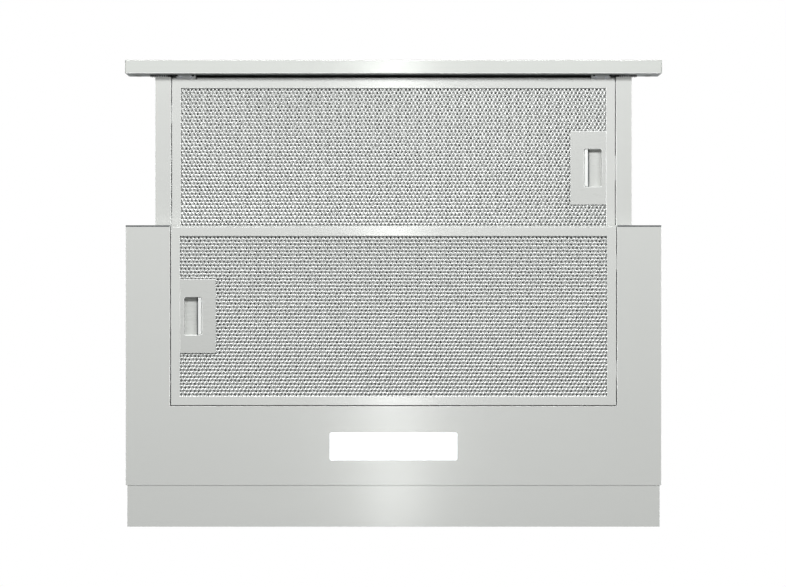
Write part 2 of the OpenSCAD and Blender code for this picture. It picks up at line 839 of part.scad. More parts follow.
module fascia_tube() {
    rotate([90, 0, 90]) linear_extrude(fascia_w - 2 * sheet)
        difference() {
            square([fascia_d, fascia_h]);
            translate([sheet, sheet]) square([fascia_d - 2 * sheet, fascia_h - 2 * sheet]);
        }
}

function button_places() = [for (i = [0 : 3]) button_x0 + i * button_pitch];

module fascia_panel() {
    color([0.86, 0.87, 0.86]) difference() {
        translate([-fascia_w / 2 + sheet, fascia_front, -fascia_drop]) fascia_tube();
        block(bezel_x0, bezel_x1, fascia_front - eps, fascia_front + sheet + eps,
              button_z - bezel_hz, button_z + bezel_hz);
    }
}

module fascia_end_caps() {
    color([0.8, 0.81, 0.8]) both_sides() {
        block(fascia_w / 2 - sheet, fascia_w / 2, fascia_front, fascia_rear,
              -fascia_drop, fascia_h - fascia_drop);
        block(fascia_w / 2 - 8, fascia_w / 2 - sheet / 2, fascia_front + sheet + 0.2,
              fascia_rear - sheet - 0.2, sheet + 0.2 - fascia_drop,
              fascia_h - sheet - 0.2 - fascia_drop);
    }
}

module control_bezel() {
    color([0.16, 0.16, 0.17]) difference() {
        union() {
            block(bezel_x0 + 0.2, bezel_x1 - 0.2, fascia_front, fascia_front + sheet + eps,
                  button_z - bezel_hz + 0.2, button_z + bezel_hz - 0.2);
            block(bezel_x0 - 2, bezel_x1 + 2, fascia_front + sheet + 0.1,
                  fascia_front + sheet + bezel_t, button_z - bezel_hz - 2, button_z + bezel_hz + 2);
            for (x = [bezel_x0 + 4, bezel_x1 - 4])
                block(x - 2, x + 2, fascia_front + sheet, board_y, button_z - 2, button_z + 2);
        }
        for (x = button_places()) translate([x, fascia_front - eps, button_z]) rotate([-90, 0, 0])
            cylinder(r = button_r + slack, h = 5);
    }
}

module control_board() {
    color([0.1, 0.35, 0.2]) {
        block(bezel_x0, bezel_x1, board_y, board_y + 1.6, button_z - 10, button_z + 10);
        for (x = button_places()) translate([x, board_y - dome_h, button_z]) rotate([-90, 0, 0])
            cylinder(r = 3, h = dome_h + 0.1);
    }
}

module push_button(x) {
    color([0.7, 0.71, 0.72]) translate([x, fascia_front, button_z]) rotate([-90, 0, 0]) {
        cylinder(r = button_r, h = button_len - button_travel);
        translate([0, 0, sheet + bezel_t + slack]) cylinder(r = button_r + 1.2, h = 1.2);
    }
}

module button_lamp() { push_button(button_places()[0]); }

module button_low() { push_button(button_places()[1]); }

module button_medium() { push_button(button_places()[2]); }

module button_high() { push_button(button_places()[3]); }

module fascia_clips() {
    color([0.6, 0.61, 0.62]) both_sides() difference() {
        union() {
            block(clip_x0, clip_x1, fascia_rear, fascia_rear + clip_foot, clip_z, clip_z + clip_t);
            block(clip_x0, clip_x1, fascia_rear, fascia_rear + clip_leg, clip_z, clip_z + clip_h);
            block(clip_x0, clip_x1, tray_front - clip_leg, tray_front, clip_z, clip_z + clip_h);
        }
        for (x = [clip_x0 + 5, clip_x1 - 5])
            translate([x, clip_screw_y, clip_z - eps]) cylinder(r = 0.8, h = 3);
    }
}

module fascia_screws() {
    color([0.2, 0.2, 0.21]) both_sides() for (x = [clip_x0 + 5, clip_x1 - 5])
        translate([x, clip_screw_y, clip_z - 0.1]) mirror([0, 0, 1]) screw(0.7, 1.6, 0.9, 2.4);
}

module fascia_adjusters() {
    tooth = 2;
    color([0.08, 0.08, 0.09]) both_sides() difference() {
        block(adjust_x0, adjust_x1, fascia_rear, tray_front - 0.2, tray_z - 1, tray_z + 9);
        for (x = [adjust_x0 + tooth / 2 : tooth : adjust_x1])
            block(x - tooth / 4, x + tooth / 4, tray_front - 2, tray_front, tray_z - 2,
                  tray_z + 10);
    }
}

module slider_bumpers() {
    color([0.1, 0.1, 0.1]) both_sides()
        translate([body_w / 2 - 12, fascia_rear, pan_h - 12]) rotate([-90, 0, 0])
            cylinder(r = 4, h = 0.8);
}

// Grease filter, drawn with its latch end at -X and its middle at the origin

module filter_frame() {
    hx = filter_l / 2;
    hy = filter_w / 2;
    color([0.86, 0.87, 0.86]) {
        difference() {
            span(hx, -hy, hy, 0, filter_t);
            span(hx - frame_t, -hy + frame_t, hy - frame_t, frame_t, filter_t - frame_t);
            span(window_hx, -window_hy, window_hy, -eps, filter_t + eps);
            block(-hx - eps, -hx + frame_t + eps, -tongue_w / 2 - slack, tongue_w / 2 + slack,
                  latch_z - slack, latch_z + latch_t + slack);
        }
        for (s = [-1, 1]) {
            block(hx - frame_t / 2, hx + hook_out, s * hook_y - hook_w / 2, s * hook_y + hook_w / 2,
                  hook_z, hook_z + hook_t);
            block(hx + hook_out - hook_t, hx + hook_out, s * hook_y - hook_w / 2,
                  s * hook_y + hook_w / 2, hook_z - 1.5, hook_z + hook_t);
        }
    }
}

// The net's holes are diamonds in staggered rows
module filter_net() {
    hx = window_hx + 5;
    hy = window_hy + 5;
    px = 2 * window_hx / net_cols;
    py = 2 * window_hy / net_rows;
    color([0.66, 0.68, 0.68]) translate([0, 0, net_z]) linear_extrude(net_t) difference() {
        square([2 * hx, 2 * hy], center = true);
        translate([plate_x - 20, -plate_w / 2 + 2]) square([plate_l + 18, plate_w - 4]);
        for (j = [0 : net_rows - 1], i = [0 : net_cols - 1]) {
            x = -window_hx + px * (i + (j % 2 == 0 ? 0.3 : 0.7));
            y = -window_hy + py * (j + 0.5);
            near_plate = x - px / 2 < plate_x + plate_l && abs(y) - py / 2 < plate_w / 2;
            if (!near_plate) translate([x, y]) polygon([
                [-px * 0.24, 0], [0, -py * 0.3], [px * 0.24, 0], [0, py * 0.3]]);
        }
    }
}

// A folded sheet between the two faces, in a zigzag along the filter
module filter_core() {
    hx = filter_l / 2 - frame_t - slack;
    folds = 88;
    fold_l = 2 * hx / folds;
    lo = net_z + net_t + 0.1;
    hi = filter_t - frame_t - 0.8;
    core_t = 0.6;
    fold = function (i, lift) [-hx + i * fold_l, (i % 2 == 0 ? lo : hi) + lift];
    color([0.55, 0.56, 0.56]) difference() {
        rotate([90, 0, 0]) translate([0, 0, -window_hy - 5])
            linear_extrude(2 * window_hy + 10) polygon(concat(
                [for (i = [0 : folds]) fold(i, 0)],
                [for (i = [folds : -1 : 0]) fold(i, core_t)]));
        block(-hx - eps, plate_x + plate_l + 2.5, -plate_w / 2 - 2.5, plate_w / 2 + 2.5,
              0, filter_t);
    }
}

module filter_handle() {
    cx = recess_x + recess_l / 2;
    cup_x0 = recess_x - cup_wall;
    cup_x1 = recess_x + recess_l - 6.5;
    color([0.84, 0.85, 0.84]) {
        difference() {
            block(plate_x + 0.1, plate_x + plate_l, -plate_w / 2, plate_w / 2, 0, plate_t);
            translate([cx, 0, -eps]) rounded_slab(recess_l, recess_w, recess_r, plate_t + 2 * eps);
        }
        difference() {
            block(cup_x0, cup_x1, -recess_w / 2 - cup_wall, recess_w / 2 + cup_wall,
                  plate_t / 2, recess_deep + cup_wall);
            block(recess_x, cup_x1 + eps, -recess_w / 2, recess_w / 2, -eps, recess_deep);
        }
        block(cup_x1 - eps, recess_x + recess_l + 2, -recess_w / 2 - cup_wall,
              recess_w / 2 + cup_wall, recess_deep, recess_deep + cup_wall);
        block(stop_x - stop_t, stop_x, -8, 8, plate_t / 2, stop_h);
    }
}

// The grip leans across the recess, and two arms reach round the cup to the tongue
module filter_latch(reach) {
    grip_x = recess_x + recess_l;
    arm_y = recess_w / 2 + cup_wall + slack;
    z1 = latch_z + latch_t;
    top = recess_deep - slack;
    bar_x0 = -filter_l / 2 + frame_t + 1;
    bar_x1 = recess_x - cup_wall - latch_travel - slack;
    color([0.8, 0.81, 0.8]) {
        rotate([90, 0, 0]) translate([0, 0, -arm_y - 4])
            linear_extrude(2 * arm_y + 8) polygon([
                [grip_x - 0.4, plate_t + slack], [grip_x + 0.8, plate_t + slack],
                [grip_x - 4.2, top], [grip_x - 5.4, top]]);
        for (s = [-1, 1])
            block(bar_x0, grip_x - 1, s * (arm_y + 2) - 2, s * (arm_y + 2) + 2, latch_z, z1);
        block(bar_x0, bar_x1, -arm_y - 4, arm_y + 4, latch_z, z1);
        block(-filter_l / 2 - reach, bar_x1, -tongue_w / 2, tongue_w / 2, latch_z, z1);
    }
}

// A compression spring between the latch's grip and the handle's stop
module latch_spring() {
    turns = 6;
    per_turn = 8;
    coil_r = 1.9;
    wire_r = 0.25;
    x0 = recess_x + recess_l + 0.9;
    x1 = stop_x - stop_t - wire_r - 0.1;
    n = turns * per_turn;
    color([0.7, 0.71, 0.72]) tube([for (i = [0 : n]) [
        x0 + (x1 - x0) * i / n,
        coil_r * cos(360 * i / per_turn),
        stop_h / 2 + 0.7 + coil_r * sin(360 * i / per_turn)]], wire_r, 6, [1, 0, 0]);
}

module at_rear_filter() {
    translate([0, filter_cy, filter_z]) children();
}

module at_front_filter() {
    translate([0, front_filter_cy, tray_filter_z]) rotate([0, 0, 180]) children();
}

module rear_filter_frame() { at_rear_filter() filter_frame(); }

module rear_filter_net() { at_rear_filter() filter_net(); }

module rear_filter_core() { at_rear_filter() filter_core(); }

module rear_filter_handle() { at_rear_filter() filter_handle(); }

module rear_latch() { at_rear_filter() filter_latch(short_reach); }

module rear_latch_spring() { at_rear_filter() latch_spring(); }

module front_filter_frame() { at_front_filter() filter_frame(); }

module front_filter_net() { at_front_filter() filter_net(); }

module front_filter_core() { at_front_filter() filter_core(); }

module front_filter_handle() { at_front_filter() filter_handle(); }

module front_latch() { at_front_filter() filter_latch(tongue_reach); }

module front_latch_spring() { at_front_filter() latch_spring(); }

bottom_pan();
upper_housing();
housing_top();
housing_screws();
cabinet_bracket_left();
cabinet_bracket_right();
blower_scroll();
scroll_cover_left();
scroll_cover_right();
motor_bracket();
motor_body();
motor_capacitor();
duct_collar();
flap_pin();
lamp_holder();
led_board();
lamp_cover();
electronics_box();
electronics_lid();
cable_gland();
wiring_harness();
rail_outer_left();
rail_outer_right();
rail_brackets();
slider_switch();
strip_nuts();
slider_tray();
rail_inner_left();
rail_inner_right();
fascia_panel();
fascia_end_caps();
fascia_clips();
fascia_adjusters();
fascia_screws();
control_board();
control_bezel();
slider_bumpers();
front_filter_frame();
front_filter_net();
front_filter_core();
front_filter_handle();
front_latch();
front_latch_spring();
rear_filter_frame();
rear_filter_net();
rear_filter_core();
rear_filter_handle();
rear_latch();
rear_latch_spring();
rear_strip();
rail_mid_left();
rail_mid_right();
impeller();
motor_shaft();
flap_front();
flap_rear();
button_lamp();
button_low();
button_medium();
button_high();
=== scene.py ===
"""Looks of a slide-out cooker hood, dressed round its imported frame.

The frame is in metres: +Z is up, the user stands at -Y, and +X is on the user's right hand.
Shapes are made in millimetres and scaled once, when they are finished.
"""

import json
import logging
import math
from dataclasses import dataclass, field, replace
from enum import Enum
from typing import Callable, Iterable, Optional, Sequence

import bmesh
import bpy
from mathutils import Matrix, Vector


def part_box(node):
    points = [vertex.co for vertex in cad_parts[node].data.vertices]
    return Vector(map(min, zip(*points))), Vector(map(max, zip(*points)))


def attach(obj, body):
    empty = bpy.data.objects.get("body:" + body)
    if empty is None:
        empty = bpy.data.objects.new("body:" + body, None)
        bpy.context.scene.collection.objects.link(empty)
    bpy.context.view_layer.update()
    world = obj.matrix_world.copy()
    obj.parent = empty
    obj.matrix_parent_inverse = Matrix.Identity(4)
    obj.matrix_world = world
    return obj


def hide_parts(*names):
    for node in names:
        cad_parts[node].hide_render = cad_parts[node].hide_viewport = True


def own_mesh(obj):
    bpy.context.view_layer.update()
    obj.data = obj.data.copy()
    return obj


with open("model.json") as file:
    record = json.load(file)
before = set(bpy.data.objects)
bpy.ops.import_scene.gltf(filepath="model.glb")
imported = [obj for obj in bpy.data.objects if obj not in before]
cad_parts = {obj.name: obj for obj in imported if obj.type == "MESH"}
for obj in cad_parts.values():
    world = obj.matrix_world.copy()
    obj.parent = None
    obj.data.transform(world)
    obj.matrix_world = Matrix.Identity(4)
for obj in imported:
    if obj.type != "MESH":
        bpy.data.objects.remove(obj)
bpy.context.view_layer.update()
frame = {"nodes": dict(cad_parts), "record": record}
LOG = logging.getLogger("hood")
MM = 0.001
SHARP = math.radians(30)  # the angle between two faces from which their edge is rounded
LEVEL = math.radians(0.3)  # the angle below which two faces of a CAD node become one
MERGE = 0.002  # how near in millimetres two corners of a CAD node become one
FINE_ROUND = 96  # the faces round a large turned part
Point = tuple[float, float, float]
Colour = tuple[int, int, int]
BODY_OF = {n: b for b, ns in frame["record"]["behaviour"]["bodies"].items() for n in ns}


def linear(colour: Colour) -> tuple[float, float, float, float]:
    """Turns a screen colour into the linear one that a shader takes.

    Args:
        colour: red, green and blue, from 0 to 255.

    Returns:
        Linear red, green, blue and an alpha of 1.
    """
    parts = [c / 255 for c in colour]
    parts = [c / 12.92 if c <= 0.04045 else ((c + 0.055) / 1.055) ** 2.4 for c in parts]
    return (parts[0], parts[1], parts[2], 1.0)


class Axis(Enum):
    """The axis that a turned shape stands along."""

    X = "X"
    Y = "Y"
    Z = "Z"

    def turn(self) -> Matrix:
        """Gives the turn that takes +Z to this axis."""
        if self is Axis.X:
            return Matrix.Rotation(math.pi / 2, 4, "Y")
        if self is Axis.Y:
            return Matrix.Rotation(-math.pi / 2, 4, "X")
        return Matrix.Identity(4)


@dataclass(frozen=True)
class Box:
    """The box that a CAD node fills at rest, in millimetres."""

    x0: float
    x1: float
    y0: float
    y1: float
    z0: float
    z1: float

    @classmethod
    def of(cls, node: str) -> "Box":
        """Reads a node's box from the frame, to a thousandth of a millimetre."""
        low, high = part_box(node)
        return cls(*(round(side / MM, 3) for pair in zip(low, high) for side in pair))

    @property
    def middle(self) -> Point:
        """Gives the point halfway between its faces."""
        return ((self.x0 + self.x1) / 2, (self.y0 + self.y1) / 2, (self.z0 + self.z1) / 2)


# Finishes


class Effect(Enum):
    """Surface effects that several finishes share, each a node group."""

    FLAKE = "fine_flake"
    GRAIN = "drawn_grain"
    HANDLING = "handling_marks"
    MOULDED = "moulded_texture"
    SPANGLE = "zinc_spangle"


class NodeSketch:
    """Adds nodes to a tree and wires them, so that a finish reads as a list of steps."""

    def __init__(self, tree: bpy.types.NodeTree) -> None:
        """Starts on a tree.

        Args:
            tree: the node tree to draw in.
        """
        self.tree = tree

    def add(self, kind: str, **settings: object) -> bpy.types.Node:
        """Adds one node.

        Args:
            kind: the node's type name.
            settings: properties of the node.

        Returns:
            The new node.
        """
        node = self.tree.nodes.new(kind)
        for name, value in settings.items():
            setattr(node, name, value)
        return node

    def feed(self, node: bpy.types.Node, **sources: object) -> bpy.types.Node:
        """Links sockets to a node's inputs, or sets their values.

        Args:
            node: the node that takes them.
            sources: input names, with _ for a space, and a socket or a value for each.

        Returns:
            The same node.
        """
        for name, source in sources.items():
            socket = node.inputs[name.replace("_", " ")]
            if isinstance(source, bpy.types.NodeSocket):
                self.tree.links.new(source, socket)
            else:
                socket.default_value = source
        return node

    def calc(self, operation: str, *terms: object) -> bpy.types.NodeSocket:
        """Does one sum.

        Args:
            operation: the Math node's operation.
            terms: sockets or numbers.

        Returns:
            The result's socket.
        """
        node = self.add("ShaderNodeMath", operation=operation)
        for socket, term in zip(node.inputs, terms):
            if isinstance(term, bpy.types.NodeSocket):
                self.tree.links.new(term, socket)
            else:
                socket.default_value = term
        return node.outputs[0]

    def stretch(self, vector: bpy.types.NodeSocket, scale: Point) -> bpy.types.NodeSocket:
        """Stretches a place, so that a pattern on it is drawn out.

        Args:
            vector: the place.
            scale: how many times it is stretched along X, Y and Z.

        Returns:
            The stretched place.
        """
        node = self.add("ShaderNodeMapping")
        self.feed(node, Vector=vector, Scale=scale)
        return node.outputs["Vector"]

    def noise(self, vector: bpy.types.NodeSocket, scale: object, detail: float = 2,
              roughness: float = 0.5) -> bpy.types.NodeSocket:
        """Gives a noise pattern.

        Args:
            vector: the place.
            scale: the pattern's scale, a number or a socket.
            detail: how many finer layers it has.
            roughness: how strong the finer layers are.

        Returns:
            The noise value, about 0.5 on average.
        """
        node = self.add("ShaderNodeTexNoise")
        self.feed(node, Vector=vector, Scale=scale, Detail=detail, Roughness=roughness)
        return node.outputs["Fac"]

    def tint(self, colour: Colour, tone: bpy.types.NodeSocket) -> bpy.types.NodeSocket:
        """Lightens or darkens a colour by a tone that varies over the surface.

        Args:
            colour: red, green and blue, from 0 to 255.
            tone: the factor, 1 where the colour stays as it is.

        Returns:
            The socket of the colour that comes out.
        """
        node = self.add("ShaderNodeMix", data_type="RGBA", blend_type="MULTIPLY")
        share, first, second = (node.inputs[i] for i in (0, 6, 7))
        share.default_value = 1.0
        first.default_value = linear(colour)
        self.tree.links.new(tone, second)
        return node.outputs[2]


class EffectGroups:
    """Builds each shared effect once and hands it out."""

    def __init__(self) -> None:
        """Starts with none built."""
        self.built: dict[Effect, bpy.types.NodeTree] = {}

    def get(self, effect: Effect) -> bpy.types.NodeTree:
        """Gives an effect's group, and builds it the first time.

        Args:
            effect: which one.

        Returns:
            The node group, with Place, Scale, Tone and Rough in and Tone, Rough and Height out.
        """
        if effect not in self.built:
            tree = bpy.data.node_groups.new(effect.value, "ShaderNodeTree")
            tree.interface.new_socket("Place", in_out="INPUT", socket_type="NodeSocketVector")
            for name in ("Scale", "Tone", "Rough"):
                tree.interface.new_socket(name, in_out="INPUT", socket_type="NodeSocketFloat")
            for name in ("Tone", "Rough", "Height"):
                tree.interface.new_socket(name, in_out="OUTPUT", socket_type="NodeSocketFloat")
            self.fill(effect, NodeSketch(tree))
            self.built[effect] = tree
        return self.built[effect]

    def fill(self, effect: Effect, sketch: NodeSketch) -> None:
        """Draws an effect's nodes.

        Args:
            effect: which one.
            sketch: where they go.
        """
        ins = sketch.add("NodeGroupInput")
        outs = sketch.add("NodeGroupOutput")
        place, scale, tone, rough = (ins.outputs[n] for n in ("Place", "Scale", "Tone", "Rough"))
        if effect is Effect.GRAIN:
            drawn = sketch.stretch(place, (1.0, 90.0, 90.0))
            value = sketch.noise(drawn, scale, 4, 0.65)
        elif effect is Effect.HANDLING:
            cloud = sketch.noise(place, scale, 3, 0.6)
            smear = sketch.noise(sketch.stretch(place, (1.0, 4.0, 2.5)),
                                 sketch.calc("MULTIPLY", scale, 3.0), 4, 0.7)
            value = sketch.calc("MULTIPLY_ADD", sketch.calc("MULTIPLY", cloud, smear), 1.6, 0.1)
        elif effect is Effect.SPANGLE:
            cells = sketch.add("ShaderNodeTexVoronoi")
            sketch.feed(cells, Vector=place, Scale=scale)
            plates = sketch.add("ShaderNodeSeparateColor")
            sketch.feed(plates, Color=cells.outputs["Color"])
            value = plates.outputs[0]
        elif effect is Effect.MOULDED:
            pits = sketch.add("ShaderNodeTexVoronoi", feature="SMOOTH_F1")
            sketch.feed(pits, Vector=place, Scale=scale)
            value = sketch.calc("MULTIPLY_ADD", pits.outputs["Distance"], 0.6,
                                sketch.calc("MULTIPLY", sketch.noise(place, scale, 3), 0.5))
        else:
            value = sketch.noise(place, scale, 2, 0.7)
        change = sketch.calc("SUBTRACT", value, 0.5)
        sketch.feed(outs, Tone=sketch.calc("MULTIPLY", change, tone),
                    Rough=sketch.calc("MULTIPLY", change, rough), Height=value)


EFFECTS = EffectGroups()


@dataclass(frozen=True)
class Layer:
    """One shared effect on a finish: its scale, how far it moves tone and roughness, its relief."""

    effect: Effect
    scale: float
    tone: float
    rough: float = 0.0
    bump: float = 0.0


@dataclass(frozen=True)
class Finish:
    """A finish of the hood: its slot in the record, its colour and how its surface varies.

    Finishes that share a slot are told apart by their variant.
    """

    slot: str
    colour: Colour
    metallic: float
    roughness: float
    layers: tuple[Layer, ...]
    coat: float = 0.0
    glow: float = 0.0
    sheen_off: bool = False
    variant: str = "look"

    def painted_highlight_edge(self) -> "Finish":
        """Gives the finish of its rolled edges, near-white as a painted highlight along them."""
        return replace(self, colour=(236, 238, 236), metallic=0.15, roughness=0.30,
                       variant="edge")

    def material(self) -> bpy.types.Material:
        """Gives the finish's material, and builds it the first time."""
        name = f"{self.slot}_{self.variant}"
        known = bpy.data.materials.get(name)
        if known:
            return known
        made = bpy.data.materials.new(name)
        made.use_nodes = True
        sketch = NodeSketch(made.node_tree)
        shader = made.node_tree.nodes["Principled BSDF"]
        place = sketch.add("ShaderNodeTexCoord").outputs["Object"]
        sketch.feed(shader, Metallic=self.metallic, Coat_Weight=self.coat)
        if self.coat:
            sketch.feed(shader, Coat_Roughness=0.12)
        if self.sheen_off:
            sketch.feed(shader, Specular_IOR_Level=0.12)
        if self.glow:
            sketch.feed(shader, Emission_Color=linear(self.colour), Emission_Strength=self.glow)
        tone: object = 1.0
        rough: object = self.roughness
        normal: Optional[bpy.types.NodeSocket] = None
        for layer in self.layers:
            group = sketch.add("ShaderNodeGroup", node_tree=EFFECTS.get(layer.effect))
            sketch.feed(group, Place=place, Scale=layer.scale, Tone=layer.tone, Rough=layer.rough)
            tone = sketch.calc("ADD", group.outputs["Tone"], tone)
            if layer.rough:
                rough = sketch.calc("ADD", group.outputs["Rough"], rough)
            if layer.bump:
                bump = sketch.add("ShaderNodeBump")
                sketch.feed(bump, Height=group.outputs["Height"], Strength=1.0,
                            Distance=layer.bump * MM)
                if normal:
                    sketch.feed(bump, Normal=normal)
                normal = bump.outputs["Normal"]
        sketch.feed(shader, Base_Color=sketch.tint(self.colour, tone), Roughness=rough)
        if normal:
            sketch.feed(shader, Normal=normal)
        return made


SHEET_LAYERS = (
    Layer(Effect.FLAKE, 2600, tone=0.05, rough=0.05, bump=0.002),
    Layer(Effect.GRAIN, 14, tone=0.02, rough=0.05),
    Layer(Effect.HANDLING, 7, tone=0.02, rough=0.05),
)
MOULD_LAYERS = (
    Layer(Effect.MOULDED, 2200, tone=0.08, bump=0.02),
    Layer(Effect.HANDLING, 16, tone=0.10, rough=0.30),
)
ZINC_LAYERS = (
    Layer(Effect.SPANGLE, 240, tone=0.20, rough=0.22),
    Layer(Effect.GRAIN, 60, tone=0.10, rough=0.10, bump=0.01),
)

PAN = Finish("pan_steel", (209, 211, 208), 0.35, 0.14, SHEET_LAYERS)
FASCIA = Finish("fascia_steel", (210, 213, 209), 0.35, 0.115, SHEET_LAYERS)
# The fascia's back: matte, and darker than its front as painted shade on the rear face.
FASCIA_BACK_SHADE = Finish("fascia_steel", (168, 172, 172), 0.0, 0.60, SHEET_LAYERS, sheen_off=True,
                     variant="back")
HOUSING = Finish("housing_steel", (200, 202, 200), 0.30, 0.40, SHEET_LAYERS)
ZINC = Finish("zinc_steel", (178, 181, 186), 0.95, 0.34, ZINC_LAYERS)
CLIP = Finish("zinc_steel", (186, 189, 189), 0.40, 0.30, SHEET_LAYERS, variant="clip")
FRAME_ALUMINIUM = Finish("filter_frame_aluminium", (213, 215, 212), 0.38, 0.13, (
    Layer(Effect.GRAIN, 26, tone=0.03, rough=0.06, bump=0.002),
    Layer(Effect.HANDLING, 9, tone=0.02, rough=0.06),
))
NET_ALUMINIUM = Finish("filter_net_aluminium", (186, 188, 186), 0.35, 0.28, (
    Layer(Effect.FLAKE, 900, tone=0.05, rough=0.02),
    Layer(Effect.HANDLING, 14, tone=0.05, rough=0.04),
))
CORE_ALUMINIUM = Finish("filter_core_aluminium", (204, 206, 204), 0.30, 0.50, (
    Layer(Effect.GRAIN, 40, tone=0.30, rough=0.20, bump=0.02),
    Layer(Effect.HANDLING, 20, tone=0.20, rough=0.20),
))
HANDLE = Finish("handle_plastic", (198, 200, 197), 0.0, 0.28, (
    Layer(Effect.MOULDED, 3000, tone=0.03, bump=0.002),
    Layer(Effect.HANDLING, 18, tone=0.03, rough=0.10),
))
# Near-white: painted highlight for the latch's grip, which the lamps leave dim in the recess.
LATCH = Finish("latch_plastic", (236, 238, 236), 0.0, 0.34, HANDLE.layers)
# Dark grey for a strip on the recess floor beside the latch: painted shadow of the gap there.
GRIP_SHADOW = Finish("handle_plastic", (104, 107, 108), 0.0, 0.60, HANDLE.layers, variant="slot")
SPRING = Finish("spring_steel", (186, 188, 192), 1.0, 0.26, (
    Layer(Effect.GRAIN, 90, tone=0.10, rough=0.20),
))
BLACK = Finish("black_plastic", (26, 26, 28), 0.0, 0.50, MOULD_LAYERS)
SCROLL = Finish("scroll_plastic", (62, 64, 67), 0.0, 0.52, MOULD_LAYERS)
WHEEL = Finish("wheel_plastic", (38, 39, 42), 0.0, 0.46, MOULD_LAYERS)
FLAP = Finish("flap_plastic", (118, 120, 124), 0.0, 0.48, MOULD_LAYERS)
MOTOR = Finish("motor_metal", (140, 142, 146), 0.60, 0.44, (
    Layer(Effect.FLAKE, 700, tone=0.20, rough=0.20, bump=0.03),
    Layer(Effect.HANDLING, 30, tone=0.16, rough=0.20),
))
CAPACITOR = Finish("capacitor_plastic", (84, 88, 98), 0.0, 0.40, MOULD_LAYERS)
DIFFUSER = Finish("lamp_diffuser", (246, 248, 250), 0.0, 0.30, (
    Layer(Effect.FLAKE, 1800, tone=0.02, rough=0.08, bump=0.003),
), coat=0.3, glow=0.55)
REFLECTOR = Finish("reflector_plastic", (232, 232, 230), 0.0, 0.46, MOULD_LAYERS)
BOARD = Finish("board_green", (34, 92, 58), 0.0, 0.30, (
    Layer(Effect.SPANGLE, 420, tone=0.45, rough=0.10, bump=0.01),
), coat=0.4)
CASING = Finish("box_plastic", (214, 213, 208), 0.0, 0.50, MOULD_LAYERS)
LEAD = Finish("lead_rubber", (34, 34, 35), 0.0, 0.58, MOULD_LAYERS)
BEZEL = Finish("bezel_plastic", (24, 25, 27), 0.0, 0.22, (
    Layer(Effect.HANDLING, 22, tone=0.20, rough=0.16),
), coat=0.3)
BUTTON = Finish("button_plastic", (196, 198, 200), 0.25, 0.30, (
    Layer(Effect.FLAKE, 2400, tone=0.10, rough=0.12),
    Layer(Effect.HANDLING, 60, tone=0.05, rough=0.16),
), coat=0.2)
BUMPER = Finish("bumper_rubber", (176, 179, 176), 0.0, 0.55, MOULD_LAYERS)
# Dark grey for strips along the pan's front edges: painted shade of the gap there.
PAN_EDGE_SHADE = Finish("bumper_rubber", (84, 88, 89), 0.0, 0.72, MOULD_LAYERS, variant="edge_shade")
# Black for the strip and blocks behind the fascia: painted shade in the gap there and at the clips'
# ends.
GAP_SHADE = Finish("black_plastic", (14, 14, 14), 0.0, 0.85, MOULD_LAYERS, variant="gap_shade_strip")


# Shapes


